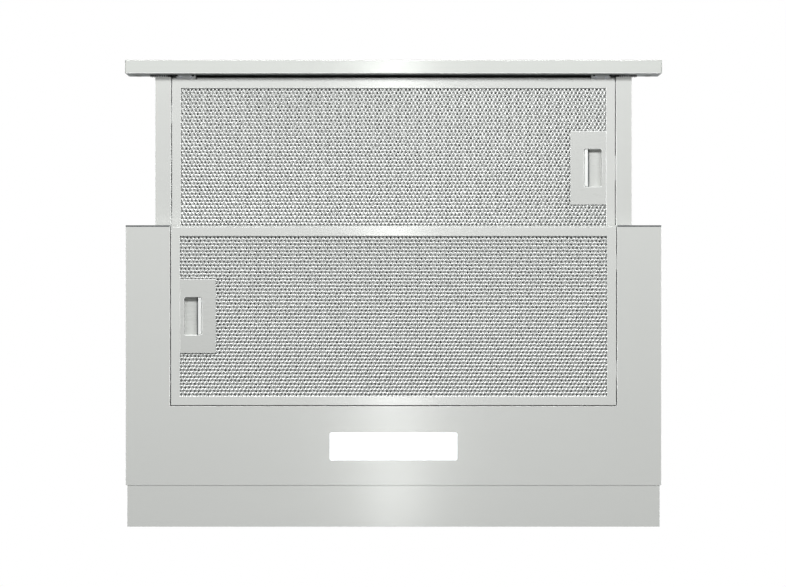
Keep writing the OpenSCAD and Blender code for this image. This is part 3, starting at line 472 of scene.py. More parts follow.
class Shape:
    """A mesh in the making, in millimetres."""

    def __init__(self) -> None:
        """Starts empty."""
        self.bm = bmesh.new()

    @classmethod
    def of_node(cls, node: str) -> "Shape":
        """Starts from a merged copy of a CAD node, with its flat faces whole again.

        Args:
            node: the CAD node's name.

        Returns:
            The new shape.
        """
        shape = cls()
        shape.bm.from_mesh(frame["nodes"][node].data)
        bmesh.ops.scale(shape.bm, vec=(1 / MM,) * 3, verts=shape.bm.verts)
        bmesh.ops.remove_doubles(shape.bm, verts=shape.bm.verts, dist=MERGE)
        bmesh.ops.dissolve_limit(shape.bm, angle_limit=LEVEL, verts=shape.bm.verts,
                                 edges=shape.bm.edges)
        return shape

    def block(self, x0: float, x1: float, y0: float, y1: float, z0: float, z1: float,
              round_by: float) -> None:
        """Adds a block with rounded edges.

        Args:
            x0, x1, y0, y1, z0, z1: its faces.
            round_by: the radius of its edges.
        """
        place = Matrix.Translation(((x0 + x1) / 2, (y0 + y1) / 2, (z0 + z1) / 2))
        size = Matrix.Diagonal((x1 - x0, y1 - y0, z1 - z0, 1))
        verts = bmesh.ops.create_cube(self.bm, size=1, matrix=place @ size)["verts"]
        edges = list({e for v in verts for e in v.link_edges})
        bmesh.ops.bevel(self.bm, geom=edges, offset=round_by, segments=2, profile=0.5,
                        affect="EDGES", material=-1)

    def turned(self, profile: Sequence[tuple[float, float]], centre: Point, axis: Axis,
               sides: int) -> None:
        """Adds a turned shape.

        Args:
            profile: radius and height of each point of its outline, going anticlockwise
                with the radius to the right, and closed if its ends are off the axis.
            centre: where its axis and height 0 are.
            axis: the way it stands.
            sides: how many faces go round it.
        """
        made = Shape()
        verts = [made.bm.verts.new((r, 0, h)) for r, h in profile]
        closed = profile[0][0] > 0 and profile[-1][0] > 0
        for a, b in zip(verts, verts[1:] + (verts[:1] if closed else [])):
            made.bm.edges.new((a, b))
        bmesh.ops.spin(made.bm, geom=made.bm.verts[:] + made.bm.edges[:], cent=(0, 0, 0),
                       axis=(0, 0, 1), dvec=(0, 0, 0), angle=math.tau, steps=sides,
                       use_merge=True)
        bmesh.ops.remove_doubles(made.bm, verts=made.bm.verts, dist=0.0005)
        bmesh.ops.recalc_face_normals(made.bm, faces=made.bm.faces)
        made.move(Matrix.Translation(centre) @ axis.turn())
        self.take(made)

    def take(self, other: "Shape") -> None:
        """Adds another shape to this one.

        Args:
            other: the shape to add; it is used up.
        """
        mesh = bpy.data.meshes.new("part")
        other.bm.to_mesh(mesh)
        self.bm.from_mesh(mesh)
        bpy.data.meshes.remove(mesh)
        other.bm.free()

    def move(self, by: Matrix) -> "Shape":
        """Moves or turns the whole shape."""
        bmesh.ops.transform(self.bm, matrix=by, verts=self.bm.verts)
        return self

    def soften(self, width: float, segments: int = 2,
               where: Optional[Callable[[bmesh.types.BMEdge], bool]] = None,
               material: int = -1) -> "Shape":
        """Rounds the sharp edges.

        Args:
            width: how far the rounding reaches.
            segments: how many faces make it.
            where: picks the edges, or all sharp ones if it is left out.
            material: the material of the new faces, or -1 for that of their neighbours.

        Returns:
            The same shape.
        """
        edges = [e for e in self.bm.edges if e.is_manifold and e.calc_face_angle() > SHARP]
        if where:
            edges = [e for e in edges if where(e)]
        bmesh.ops.bevel(self.bm, geom=edges, offset=width, segments=segments, profile=0.5,
                        affect="EDGES", material=material, clamp_overlap=False,
                        loop_slide=True)
        return self

    def dimples(self, places: Iterable[Point], axis: Axis, rise: float = 0.18) -> None:
        """Adds the low marks that spot welds leave.

        Args:
            places: where they are.
            axis: the way that the surface faces.
            rise: their height; a negative one faces the other way.
        """
        radius, sunk = 2.6, -0.05 * math.copysign(1, rise)
        for place in places:
            self.turned([(0, sunk), (radius, sunk), (radius * 0.8, rise * 0.3),
                         (radius * 0.55, rise), (0, rise)], place, axis, 20)

    def piece(self, name: str, finish: Finish, body: str, replaces: Sequence[str] = (),
              flat: bool = False, others: Sequence[Finish] = ()) -> bpy.types.Object:
        """Makes the shape an object that rides on a body.

        Args:
            name: the piece's name.
            finish: its finish.
            body: the CAD body that carries it.
            replaces: the CAD nodes that it stands for.
            flat: whether its faces keep their own flat shade.
            others: the finishes of the faces whose material is 1 or more.

        Returns:
            The object.
        """
        bmesh.ops.scale(self.bm, vec=(MM,) * 3, verts=self.bm.verts)
        for face in self.bm.faces:
            face.smooth = not flat
        mesh = bpy.data.meshes.new(name)
        self.bm.to_mesh(mesh)
        self.bm.free()
        made = bpy.data.objects.new(name, mesh)
        bpy.context.scene.collection.objects.link(made)
        for look in (finish, *others):
            made.data.materials.append(look.material())
        if not flat:
            shade = made.modifiers.new("even_shade", "WEIGHTED_NORMAL")
            shade.keep_sharp = False
            shade.weight = 80
        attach(made, body)
        if replaces:
            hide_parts(*replaces)
        LOG.info("%s rides on %s: %d faces", name, body, len(mesh.polygons))
        return made


@dataclass(frozen=True)
class Dressed:
    """A CAD node that is shown as it is, with its edges rounded."""

    node: str
    finish: Finish
    round_by: float = 0.25
    segments: int = 2

    def build(self) -> None:
        """Makes the rounded copy in the node's place."""
        shape = Shape.of_node(self.node).soften(self.round_by, self.segments)
        shape.piece(f"{self.node}_made", self.finish, BODY_OF[self.node], [self.node])


def dress(*parts: Dressed) -> None:
    """Builds several rounded copies, one after the other."""
    for part in parts:
        part.build()


def low_edges(longer_than: float, below: float) -> Callable[[bmesh.types.BMEdge], bool]:
    """Gives a test that picks the long edges of a sheet's underside.

    Args:
        longer_than: the length that an edge has to pass.
        below: the height that both its ends stay under.

    Returns:
        The test, which takes an edge.
    """
    def picks(edge: bmesh.types.BMEdge) -> bool:
        """Tells whether an edge is long and low enough."""
        return edge.calc_length() > longer_than and all(v.co.z < below for v in edge.verts)

    return picks


def tube(points: Sequence[Point], radius: float, sides: int, smooth: bool = True) -> Shape:
    """Sweeps a round section along a line.

    Args:
        points: the line, in millimetres.
        radius: the section's radius.
        sides: how many faces go round it.
        smooth: whether the line is rounded between its points.

    Returns:
        The tube as a shape.
    """
    curve = bpy.data.curves.new("line", "CURVE")
    curve.dimensions = "3D"
    spline = curve.splines.new("NURBS" if smooth else "POLY")
    spline.points.add(len(points) - 1)
    for target, point in zip(spline.points, points):
        target.co = (*point, 1)
    if smooth:
        spline.use_endpoint_u = True
        spline.order_u = 3
        spline.resolution_u = 6
    curve.bevel_depth = radius
    curve.bevel_resolution = max(1, sides // 4)
    curve.use_fill_caps = True
    holder = bpy.data.objects.new("line", curve)
    bpy.context.scene.collection.objects.link(holder)
    bpy.context.view_layer.update()
    mesh = bpy.data.meshes.new_from_object(
        holder.evaluated_get(bpy.context.evaluated_depsgraph_get()))
    shape = Shape()
    shape.bm.from_mesh(mesh)
    bmesh.ops.remove_doubles(shape.bm, verts=shape.bm.verts, dist=0.001)
    bmesh.ops.recalc_face_normals(shape.bm, faces=shape.bm.faces)
    bpy.data.objects.remove(holder)
    bpy.data.curves.remove(curve)
    bpy.data.meshes.remove(mesh)
    return shape


# Grease filters


@dataclass
class GreaseFilter:
    """A grease filter in millimetres, drawn with its latch end at -X round its own middle."""

    side: str
    body: str
    turned_round: bool
    width: float = field(init=False)
    thickness: float = field(init=False)
    middle: Point = field(init=False)
    length: float = 497.0
    border: float = 10.0
    tuck: float = 3.0
    pitch_x: float = 4.29
    pitch_y: float = 3.90
    strand: float = 0.96
    emboss: float = 0.52
    knuckle: float = 0.26
    wall: float = 0.5
    net_z: float = 1.9
    upper_net_in: float = 0.5
    upper_coarser: float = 2.0
    core_z: float = 3.1
    plate_l: float = 40.0
    plate_w: float = 82.6
    plate_lap: float = 1.2
    window_round: float = 0.5
    rim_round: float = 0.3
    small_round: float = 0.12
    handle_round: float = 0.42
    grip_x: float = -218.4
    lip_w: float = 3.4
    lip_low: float = 1.35
    lip_top: float = 2.2
    recess_w: float = 42.6
    recess_z: float = 8.6
    grip_gap: float = 0.4
    shadow_from: float = -2.0
    shadow_to: float = -0.55
    spring_from: float = -212.6
    spring_to: float = -203.15
    spring_z: float = 4.2
    spring_r: float = 1.9
    spring_turns: int = 6
    turn_points: int = 16
    wire_r: float = 0.25
    wire_squash: float = 0.46

    def __post_init__(self) -> None:
        """Reads the frame's width, thickness and place from its CAD node."""
        shell = Box.of(f"{self.side}_filter_frame")
        self.width = shell.y1 - shell.y0
        self.thickness = shell.z1 - shell.z0
        self.middle = (0.0, shell.middle[1], shell.z0)

    def place(self) -> Matrix:
        """Gives the move from the filter's own place to the hood."""
        turn = Matrix.Rotation(math.pi if self.turned_round else 0, 4, "Z")
        return Matrix.Translation(self.middle) @ turn

    def net(self, coarse: float) -> Shape:
        """Makes an expanded net, seen from below, with its face at height 0.

        Args:
            coarse: how many times larger than the real mesh it is.

        Returns:
            The net, without the part that the handle's plate covers.
        """
        px, py = self.pitch_x * coarse, self.pitch_y * coarse
        net = Shape()
        bm = net.bm
        bmesh.ops.create_circle(bm, cap_ends=True, radius=1, segments=6,
                                matrix=Matrix.Diagonal((px / math.sqrt(3), 2 * py / 3, 1, 1)))
        middle = bm.faces[:][0]
        bmesh.ops.inset_individual(bm, faces=[middle], thickness=self.strand * coarse,
                                   depth=-self.emboss, use_even_offset=True)
        hole = bmesh.ops.extrude_face_region(bm, geom=[middle])["geom"]
        bmesh.ops.translate(bm, vec=(0, 0, -self.wall),
                            verts=[g for g in hole if isinstance(g, bmesh.types.BMVert)])
        bmesh.ops.delete(bm, geom=[g for g in hole if isinstance(g, bmesh.types.BMFace)],
                         context="FACES_ONLY")
        if middle.is_valid:
            bmesh.ops.delete(bm, geom=[middle], context="FACES_ONLY")
        for vert in bm.verts:
            y = vert.co.y / py
            if vert.co.z > -0.01 and (y > 0.6 or -0.6 < y < 0):
                vert.co.z -= self.knuckle * coarse ** 0.5
        hx, hy = (side / 2 - self.border + self.tuck for side in (self.length, self.width))
        self.spread(bm, Vector((px, 0, 0)), math.ceil(2 * hx / px) + 2)
        self.spread(bm, Vector((px / 2, py, 0)), 2)
        self.spread(bm, Vector((0, 2 * py, 0)), math.ceil(hy / py) + 2)
        middle_of = sum((v.co for v in bm.verts), Vector()) / len(bm.verts)
        bmesh.ops.translate(bm, vec=(-middle_of.x, -middle_of.y, 0), verts=bm.verts)
        bmesh.ops.rotate(bm, cent=(0, 0, 0), matrix=Matrix.Rotation(math.pi, 3, "X"),
                         verts=bm.verts)
        self.trim(bm, hx, hy)
        bmesh.ops.remove_doubles(bm, verts=bm.verts, dist=0.02)
        return net

    @staticmethod
    def spread(bm: bmesh.types.BMesh, step: Vector, count: int) -> None:
        """Repeats all that there is, by doubling, until there are enough copies.

        Args:
            bm: the mesh.
            step: the distance from one copy to the next.
            count: how many are needed at least.
        """
        have = 1
        while have < count:
            more = bmesh.ops.duplicate(bm, geom=bm.verts[:] + bm.edges[:] + bm.faces[:])["geom"]
            bmesh.ops.translate(bm, vec=step * have,
                                verts=[g for g in more if isinstance(g, bmesh.types.BMVert)])
            have *= 2

    def trim(self, bm: bmesh.types.BMesh, hx: float, hy: float) -> None:
        """Cuts the net to the window and round the handle's plate.

        Args:
            bm: the net's mesh.
            hx: half of the net's length.
            hy: half of its width.
        """
        plate_end = -self.length / 2 + self.border + self.plate_l - self.plate_lap
        plate_hy = self.plate_w / 2 - self.plate_lap
        gone = []
        for face in bm.faces:
            mid = face.calc_center_median()
            under = mid.x < plate_end and abs(mid.y) < plate_hy
            if abs(mid.x) > hx or abs(mid.y) > hy or under:
                gone.append(face)
        bmesh.ops.delete(bm, geom=gone, context="FACES")

    def is_rim(self, edge: bmesh.types.BMEdge, at_window: bool) -> bool:
        """Tells whether an edge of the frame is a long one of its lower face.

        Args:
            edge: an edge of the frame, in its place in the hood.
            at_window: True for those round the net, False for the outer ones.

        Returns:
            Whether it is.
        """
        if edge.calc_length() < 60 or min(v.co.z for v in edge.verts) > self.middle[2] + 0.1:
            return False
        mid = (edge.verts[0].co + edge.verts[1].co) / 2 - Vector(self.middle)
        inside = (abs(mid.x) < self.length / 2 - self.border + 1
                  and abs(mid.y) < self.width / 2 - self.border + 1)
        return inside == at_window

    def build(self) -> None:
        """Makes the frame, both nets, the core, the handle, the latch and its spring."""
        frame_node, handle_node = f"{self.side}_filter_frame", f"{self.side}_filter_handle"
        frame_shape = Shape.of_node(frame_node)
        # The rims round the window and outside take the near-white edge finish, a painted highlight.
        for at_window, width in ((True, self.window_round), (False, self.rim_round)):
            frame_shape.soften(width, 3, where=lambda e: self.is_rim(e, at_window), material=1)
        frame_shape.soften(self.small_round, 1)
        frame_shape.piece(f"{self.side}_frame_made", FRAME_ALUMINIUM, self.body, [frame_node],
                          others=(FRAME_ALUMINIUM.painted_highlight_edge(),))
        lower = self.net(1.0).move(self.place() @ Matrix.Translation((0, 0, self.net_z)))
        lower.piece(f"{self.side}_net_made", NET_ALUMINIUM, self.body,
                    [f"{self.side}_filter_net"], flat=True)
        upper = self.net(self.upper_coarser).move(Matrix.Rotation(math.pi, 4, "X"))
        upper.move(self.place() @ Matrix.Translation((0, 0, self.thickness - self.upper_net_in)))
        upper.piece(f"{self.side}_net_upper", NET_ALUMINIUM, self.body, flat=True)
        self.build_core()
        # The handle's rounded edges take the near-white edge finish, a painted highlight.
        Shape.of_node(handle_node).soften(self.handle_round, 3, material=1).piece(
            f"{self.side}_handle_made", HANDLE, self.body, [handle_node],
            others=(HANDLE.painted_highlight_edge(),))
        self.build_latch()
        self.build_spring()

    def build_latch(self) -> None:
        """Makes the latch and the flat lip of its grip, near-white as painted highlight, and a dark
        strip on the recess's floor as painted shadow of the gap beside the grip.
        """
        latch_node = f"{self.side}_latch"
        Dressed(latch_node, LATCH, 0.22).build()
        x, half_w = self.grip_x, self.recess_w / 2 - self.grip_gap
        lip = Shape()
        lip.block(x, x + self.lip_w, -half_w, half_w, self.lip_low, self.lip_top, 0.35)
        lip.move(self.place()).piece(f"{self.side}_grip_lip", LATCH, BODY_OF[latch_node])
        # A dark strip on the recess floor beside the grip: painted shadow of the gap there.
        slot = Shape()
        slot.block(x + self.shadow_from, x + self.shadow_to, -half_w, half_w,
                   self.recess_z - 0.18, self.recess_z + 0.2, 0.05)
        slot.move(self.place()).piece(f"{self.side}_grip_slot", GRIP_SHADOW, self.body)

    def build_core(self) -> None:
        """Makes the folded core, drawn up a little so that the net lies under it."""
        node = f"{self.side}_filter_core"
        core = Shape.of_node(node).soften(0.1, 1)
        heights = [v.co.z for v in core.bm.verts]
        low, top = min(heights), max(heights)
        drawn = (top - self.middle[2] - self.core_z) / (top - low)
        core.move(Matrix.Translation((0, 0, top * (1 - drawn))) @ Matrix.Diagonal((1, 1, drawn, 1)))
        core.piece(f"{node}_made", CORE_ALUMINIUM, self.body, [node])

    def build_spring(self) -> None:
        """Winds the latch's spring between its grip and the handle's stop."""
        start, end, r = self.spring_from, self.spring_to, self.spring_r
        count = self.spring_turns * self.turn_points
        coil = []
        for i in range(count + 1):
            turn = math.tau * i / self.turn_points
            coil.append((start + (end - start) * i / count,
                         r * math.cos(turn), self.spring_z + r * math.sin(turn)))
        spring = tube(coil, self.wire_r, 8, smooth=False).move(self.place())
        node = f"{self.side}_latch_spring"
        made = spring.piece(f"{self.side}_spring_made", SPRING, BODY_OF[node], [node])
        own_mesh(made)


# Sheet work


@dataclass
class LowerPan:
    """The pan that faces the hob, with the lamp and the strip behind it."""

    opening_hx: float = 249.5
    edge_round: float = 0.4
    weld_in: float = 8.0
    weld_pitch: int = 40
    edge_shade_d: float = 1.5
    edge_shade_top: float = 2.4

    def build(self) -> None:
        """Makes the pan, dark strips along its front edges as painted shade of the gap there, the
        strip and the lamp.
        """
        box = Box.of("bottom_pan")
        pan = Shape.of_node("bottom_pan")
        # The pan's long lower edges take the near-white edge finish, a painted highlight.
        pan.soften(self.edge_round, 3, where=low_edges(30, 0.01), material=1).soften(0.16, 1)
        pan.dimples([(x, y, box.z1) for x in (box.x0 + self.weld_in, box.x1 - self.weld_in)
                     for y in range(int(box.y0) + 20, -10, self.weld_pitch)], Axis.Z)
        pan.piece("pan_made", PAN, "hood_body", ["bottom_pan"], others=(PAN.painted_highlight_edge(),))
        # Dark strips along the pan's front edges: painted shade of the gap there.
        edge_shades = Shape()
        for side in (-1, 1):
            x0, x1 = sorted((side * (self.opening_hx + 0.4), side * (box.x1 + 0.1)))
            edge_shades.block(x0, x1, box.y0 - 0.2, box.y0 + self.edge_shade_d, -0.18, self.edge_shade_top, 0.15)
        edge_shades.piece("pan_edge_shades", PAN_EDGE_SHADE, "hood_body")
        dress(Dressed("rear_strip", PAN, 0.3), Dressed("strip_nuts", ZINC, 0.25),
              Dressed("lamp_holder", REFLECTOR, 0.5), Dressed("led_board", BOARD, 0.15),
              Dressed("lamp_cover", DIFFUSER, 0.35, 3))


@dataclass
class UpperHousing:
    """The housing over the pan, its top, its screws and the brackets at its sides."""

    weld_in: float = 7.0
    weld_rise: float = 0.18
    weld_xs: range = range(-240, 241, 60)
    weld_ys: range = range(-255, -20, 46)
    side_beads: tuple[float, ...] = (120.0, 160.0)
    side_bead_in: float = 25.0
    side_bead_hw: float = 4.0
    top_bead_xs: tuple[tuple[float, float], ...] = ((-240.0, -110.0), (110.0, 200.0))
    top_bead_pitch: float = 55.0
    top_bead_hw: float = 5.0
    ring_r: float = 86.0
    ring_w: float = 6.0
    flange_screw_x: float = 256.0
    flange_screw_ys: tuple[float, ...] = (-50.0, -140.0, -230.0)
    flange_t: float = 1.1
    bracket_screw_x: float = 264.6
    bracket_screw_ys: tuple[float, ...] = (-190.0, -90.0)
    bracket_screw_z: float = 81.0
    screw_head_r: float = 3.8
    thread_r: float = 1.9
    thread_core: float = 1.5
    thread_pitch: float = 0.9

    def build(self) -> None:
        """Makes the walls, the top, the screws and the brackets."""
        walls = Box.of("upper_housing")
        self.build_walls(walls)
        self.build_top(Box.of("duct_collar"))
        self.build_screws(walls.z0 + self.flange_t)
        dress(Dressed("cabinet_bracket_left", ZINC, 0.4), Dressed("cabinet_bracket_right", ZINC, 0.4))

    def build_walls(self, box: Box) -> None:
        """Makes the four walls with their weld marks and the beads of the side walls.

        Args:
            box: the walls' box.
        """
        walls = Shape.of_node("upper_housing").soften(0.45)
        low, top = box.z0 + self.weld_in, box.z1 - self.weld_in
        for y, rise in ((box.y1, self.weld_rise), (box.y0, -self.weld_rise)):
            walls.dimples([(x, y, z) for x in self.weld_xs for z in (low, top)], Axis.Y,
                          rise=rise)
        for x, rise in ((box.x1, self.weld_rise), (box.x0, -self.weld_rise)):
            walls.dimples([(x, y, top) for y in self.weld_ys], Axis.X, rise=rise)
            for z in self.side_beads:
                walls.block(x - 0.5, x + 0.5, box.y0 + self.side_bead_in,
                            box.y1 - self.side_bead_in, z - self.side_bead_hw,
                            z + self.side_bead_hw, 0.45)
        walls.piece("housing_made", HOUSING, "hood_body", ["upper_housing"])

    def build_top(self, collar: Box) -> None:
        """Makes the top plate with a ring round the collar and beads beside it.

        Args:
            collar: the box of the collar that stands on it.
        """
        top = Shape.of_node("housing_top").soften(0.4)
        x, y, z = collar.middle[0], collar.middle[1], collar.z0
        inner, outer, half = self.ring_r, self.ring_r + self.ring_w, self.top_bead_hw
        top.turned([(inner, -0.2), (outer, -0.2), (outer - 1, 0.9), (inner + 1, 0.9)],
                   (x, y, z), Axis.Z, FINE_ROUND)
        for x0, x1 in self.top_bead_xs:
            for bead_y in (y + self.top_bead_pitch, y, y - self.top_bead_pitch):
                top.block(x0, x1, bead_y - half, bead_y + half, z - 0.3, z + 0.7, 0.6)
        top.piece("housing_top_made", HOUSING, "hood_body", ["housing_top"])

    def screw(self, centre: Point, axis: Axis, out: int, shank: float) -> Shape:
        """Makes a pan-headed screw with a cross recess.

        Args:
            centre: the middle of the head's seat.
            axis: the way that it stands.
            out: 1 if its head points along the axis, or -1.
            shank: the length below the head.

        Returns:
            The screw.
        """
        r, core, pitch = self.screw_head_r, self.thread_core, self.thread_pitch
        screw = Shape()
        thread = []
        for i in range(int(shank / pitch)):
            thread += [(self.thread_r, -pitch * i - 0.25), (core, -pitch * i - 0.7)]
        dome = [(0, 1.0), (r * 0.22, 1.0), (r * 0.3, 2.2), (r * 0.55, 2.1), (r * 0.85, 1.5),
                (r, 0.6), (r, 0.0), (core, 0.0)]
        screw.turned(dome + thread + [(0.2, -shank - 0.4), (0, -shank - 0.4)], (0, 0, 0),
                     Axis.Z, 32)
        for arm in (0, 1):
            cut = Shape()
            cut.block(-r * 0.58, r * 0.58, -r * 0.09, r * 0.09, 1.95, 2.22, 0.08)
            screw.take(cut.move(Matrix.Rotation(arm * math.pi / 2, 4, "Z")))
        flip = Matrix.Identity(4) if out > 0 else Matrix.Rotation(math.pi, 4, "X")
        return screw.move(Matrix.Translation(centre) @ axis.turn() @ flip)

    def build_screws(self, seat_z: float) -> None:
        """Puts a screw in each hole of the flange and of the brackets.

        Args:
            seat_z: the height of the flange's upper face.
        """
        screws = Shape()
        for side in (-1, 1):
            for y in self.flange_screw_ys:
                screws.take(self.screw((side * self.flange_screw_x, y, seat_z), Axis.Z, 1, 3.4))
            for y in self.bracket_screw_ys:
                centre = (side * self.bracket_screw_x, y, self.bracket_screw_z)
                screws.take(self.screw(centre, Axis.X, side, 5))
        screws.piece("housing_screws_made", ZINC, "hood_body", ["housing_screws"])


@dataclass
class DuctCollar:
    """The collar on the housing, and its two flaps on one pin."""

    radius: float = 75.0
    bead_zs: tuple[float, ...] = (12.0, 30.0, 36.0)
    lugs: int = 4
    rib_xs: tuple[float, ...] = (-44.0, -16.0, 16.0, 44.0)
    rib_from: float = 16.0
    rib_reach: float = 66.0
    rib_low: float = 0.3
    rib_top: float = 1.6
    cross_rib_y: float = 25.0
    cross_rib_hx: float = 58.0

    def build(self) -> None:
        """Makes the collar with its beads and lugs, the pin and both flaps."""
        box = Box.of("duct_collar")
        centre, r = (box.middle[0], box.middle[1], box.z0), self.radius
        collar = Shape.of_node("duct_collar").soften(0.3)
        for z in self.bead_zs:
            collar.turned([(r - 0.2, z - 1.2), (r + 0.6, z - 0.4), (r + 0.6, z + 0.4),
                           (r - 0.2, z + 1.2)], centre, Axis.Z, FINE_ROUND)
        for k in range(self.lugs):
            lug = Shape()
            lug.block(r + 1, r + 6, -7, 7, 1.8, 3.6, 0.4)
            lug.move(Matrix.Rotation(math.tau * (k + 0.5) / self.lugs, 4, "Z"))
            collar.take(lug.move(Matrix.Translation(centre)))
        collar.piece("collar_made", BLACK, "hood_body", ["duct_collar"])
        Dressed("flap_pin", ZINC, 0.2).build()
        pin = Matrix.Translation(Box.of("flap_pin").middle)
        for name, way in (("rear", 0.0), ("front", math.pi)):
            flap = Shape.of_node(f"flap_{name}").soften(0.2)
            flap.take(self.ribs().move(pin @ Matrix.Rotation(way, 4, "Z")))
            flap.piece(f"flap_{name}_made", FLAP, f"flap_{name}", [f"flap_{name}"])

    def ribs(self) -> Shape:
        """Makes the ribs of the rear flap, with the pin's middle at the origin."""
        ribs = Shape()
        for x in self.rib_xs:
            ribs.block(x - 0.7, x + 0.7, self.rib_from, math.sqrt(self.rib_reach ** 2 - x * x),
                       self.rib_low, self.rib_top, 0.25)
        ribs.block(-self.cross_rib_hx, self.cross_rib_hx, self.cross_rib_y - 0.7,
                   self.cross_rib_y + 0.7, self.rib_low, self.rib_top, 0.25)
        return ribs


@dataclass
class FanUnit:
    """The fan's casing, its motor and the wheel."""

    blades: int = 32
    blade_t: float = 0.9
    blade_curl: float = 6.5
    blade_arc: float = math.radians(78)
    blade_lean: float = math.radians(-20)
    blade_ahead: float = 2.2
    blade_in: float = 8.2
    ring_w: float = 3.0
    ring_edge: float = 0.3
    disc_t: float = 3.0
    disc_in: float = 5.0
    hub_r: float = 12.0
    hub_l: float = 14.0
    hub_edge: float = 0.6
    bore_r: float = 4.02
    cover_x: float = 52.0
    bead_r: float = 50.0

    def build(self) -> None:
        """Makes the casing, the motor and the wheel with its curved blades."""
        dress(Dressed("blower_scroll", SCROLL, 0.4), Dressed("motor_bracket", ZINC, 0.3),
              Dressed("motor_body", MOTOR, 0.8, 3), Dressed("motor_shaft", ZINC, 0.4),
              Dressed("motor_capacitor", CAPACITOR, 0.9, 3))
        wheel = Box.of("impeller")
        r = self.bead_r
        bead = [(r - 1, -0.3), (r + 1, -0.3), (r + 0.8, 0.8), (r - 0.8, 0.8)]
        for side, way in (("left", -1), ("right", 1)):
            cover = Shape.of_node(f"scroll_cover_{side}").soften(0.35)
            cover.turned([(out, rise * way) for out, rise in bead],
                         (way * self.cover_x, *wheel.middle[1:]), Axis.X, 72)
            cover.piece(f"scroll_cover_{side}_made", SCROLL, "hood_body",
                        [f"scroll_cover_{side}"])
        self.build_wheel(wheel)

    def build_wheel(self, box: Box) -> None:
        """Makes the wheel: two rings, a disc, a hub and a row of curved blades.

        Args:
            box: the wheel's box.
        """
        wheel = Shape()
        centre, r, width, edge = box.middle, (box.y1 - box.y0) / 2, self.ring_w, self.ring_edge
        for x in (box.x0, box.x1 - width):
            wheel.turned([(r - width, edge), (r - width + edge, 0), (r - edge, 0), (r, edge),
                          (r, width - edge), (r - edge, width), (r - width + edge, width),
                          (r - width, width - edge)], (x, *centre[1:]), Axis.X, FINE_ROUND)
        hub_r, hub_l, half_t = self.hub_r, self.hub_l, self.disc_t / 2
        wheel.turned([(self.bore_r, -hub_l), (hub_r - self.hub_edge, -hub_l),
                      (hub_r, self.hub_edge - hub_l), (hub_r, -half_t - 1), (hub_r + 1, -half_t),
                      (r - self.disc_in, -half_t), (r - self.disc_in, half_t),
                      (self.bore_r, half_t)], centre, Axis.X, FINE_ROUND)
        blade = Shape()
        ends = [blade.bm.verts.new((x, 0, 0)) for x in (box.x0 + 1, box.x1 - 1)]
        blade.bm.edges.new(ends)
        bmesh.ops.spin(blade.bm, geom=blade.bm.verts[:] + blade.bm.edges[:],
                       cent=(0, 0, self.blade_curl), axis=(1, 0, 0), dvec=(0, 0, 0),
                       angle=self.blade_arc, steps=6)
        bmesh.ops.recalc_face_normals(blade.bm, faces=blade.bm.faces)
        bmesh.ops.solidify(blade.bm, geom=blade.bm.faces[:], thickness=self.blade_t)
        blade.move(Matrix.Translation((0, self.blade_ahead, r - self.blade_in))
                   @ Matrix.Rotation(self.blade_lean, 4, "X"))
        bmesh.ops.spin(blade.bm, geom=blade.bm.verts[:] + blade.bm.edges[:] + blade.bm.faces[:],
                       cent=(0, 0, 0), axis=(1, 0, 0), dvec=(0, 0, 0),
                       angle=math.tau * (self.blades - 1) / self.blades,
                       steps=self.blades - 1, use_duplicate=True)
        wheel.take(blade.move(Matrix.Translation(centre)))
        wheel.piece("wheel_made", WHEEL, "fan_rotor", ["impeller"])


@dataclass
class Electrics:
    """The terminal box, the gland and the leads."""

    lead_r: float = 2.5
    mains: tuple[Point, ...] = ((226, -185, 160), (226, -185, 175), (226, -185, 190))
    motor: tuple[Point, ...] = (
        (196, -150, 130), (170, -150, 130), (150, -152, 128), (84, -163, 120), (68, -165, 118),
        (54, -165, 118))
    lamp: tuple[Point, ...] = (
        (226, -150, 124), (226, -150, 104), (224, -144, 94), (216, -64, 57), (202, -54, 50),
        (136, -54, 50), (70, -54, 50), (50, -53, 47), (42, -51, 37), (40, -46.25, 26),
        (40, -43.25, 20), (40, -43.25, 17))

    def build(self) -> None:
        """Makes the box, its lid, the gland and the three leads."""
        dress(Dressed("electronics_box", CASING, 0.6), Dressed("electronics_lid", CASING, 0.5),
              Dressed("cable_gland", BLACK, 0.5), Dressed("slider_switch", BLACK, 0.4))
        leads = Shape()
        for path in (self.mains, self.motor, self.lamp):
            leads.take(tube(path, self.lead_r, 16))
        leads.piece("leads_made", LEAD, "hood_body", ["wiring_harness"])


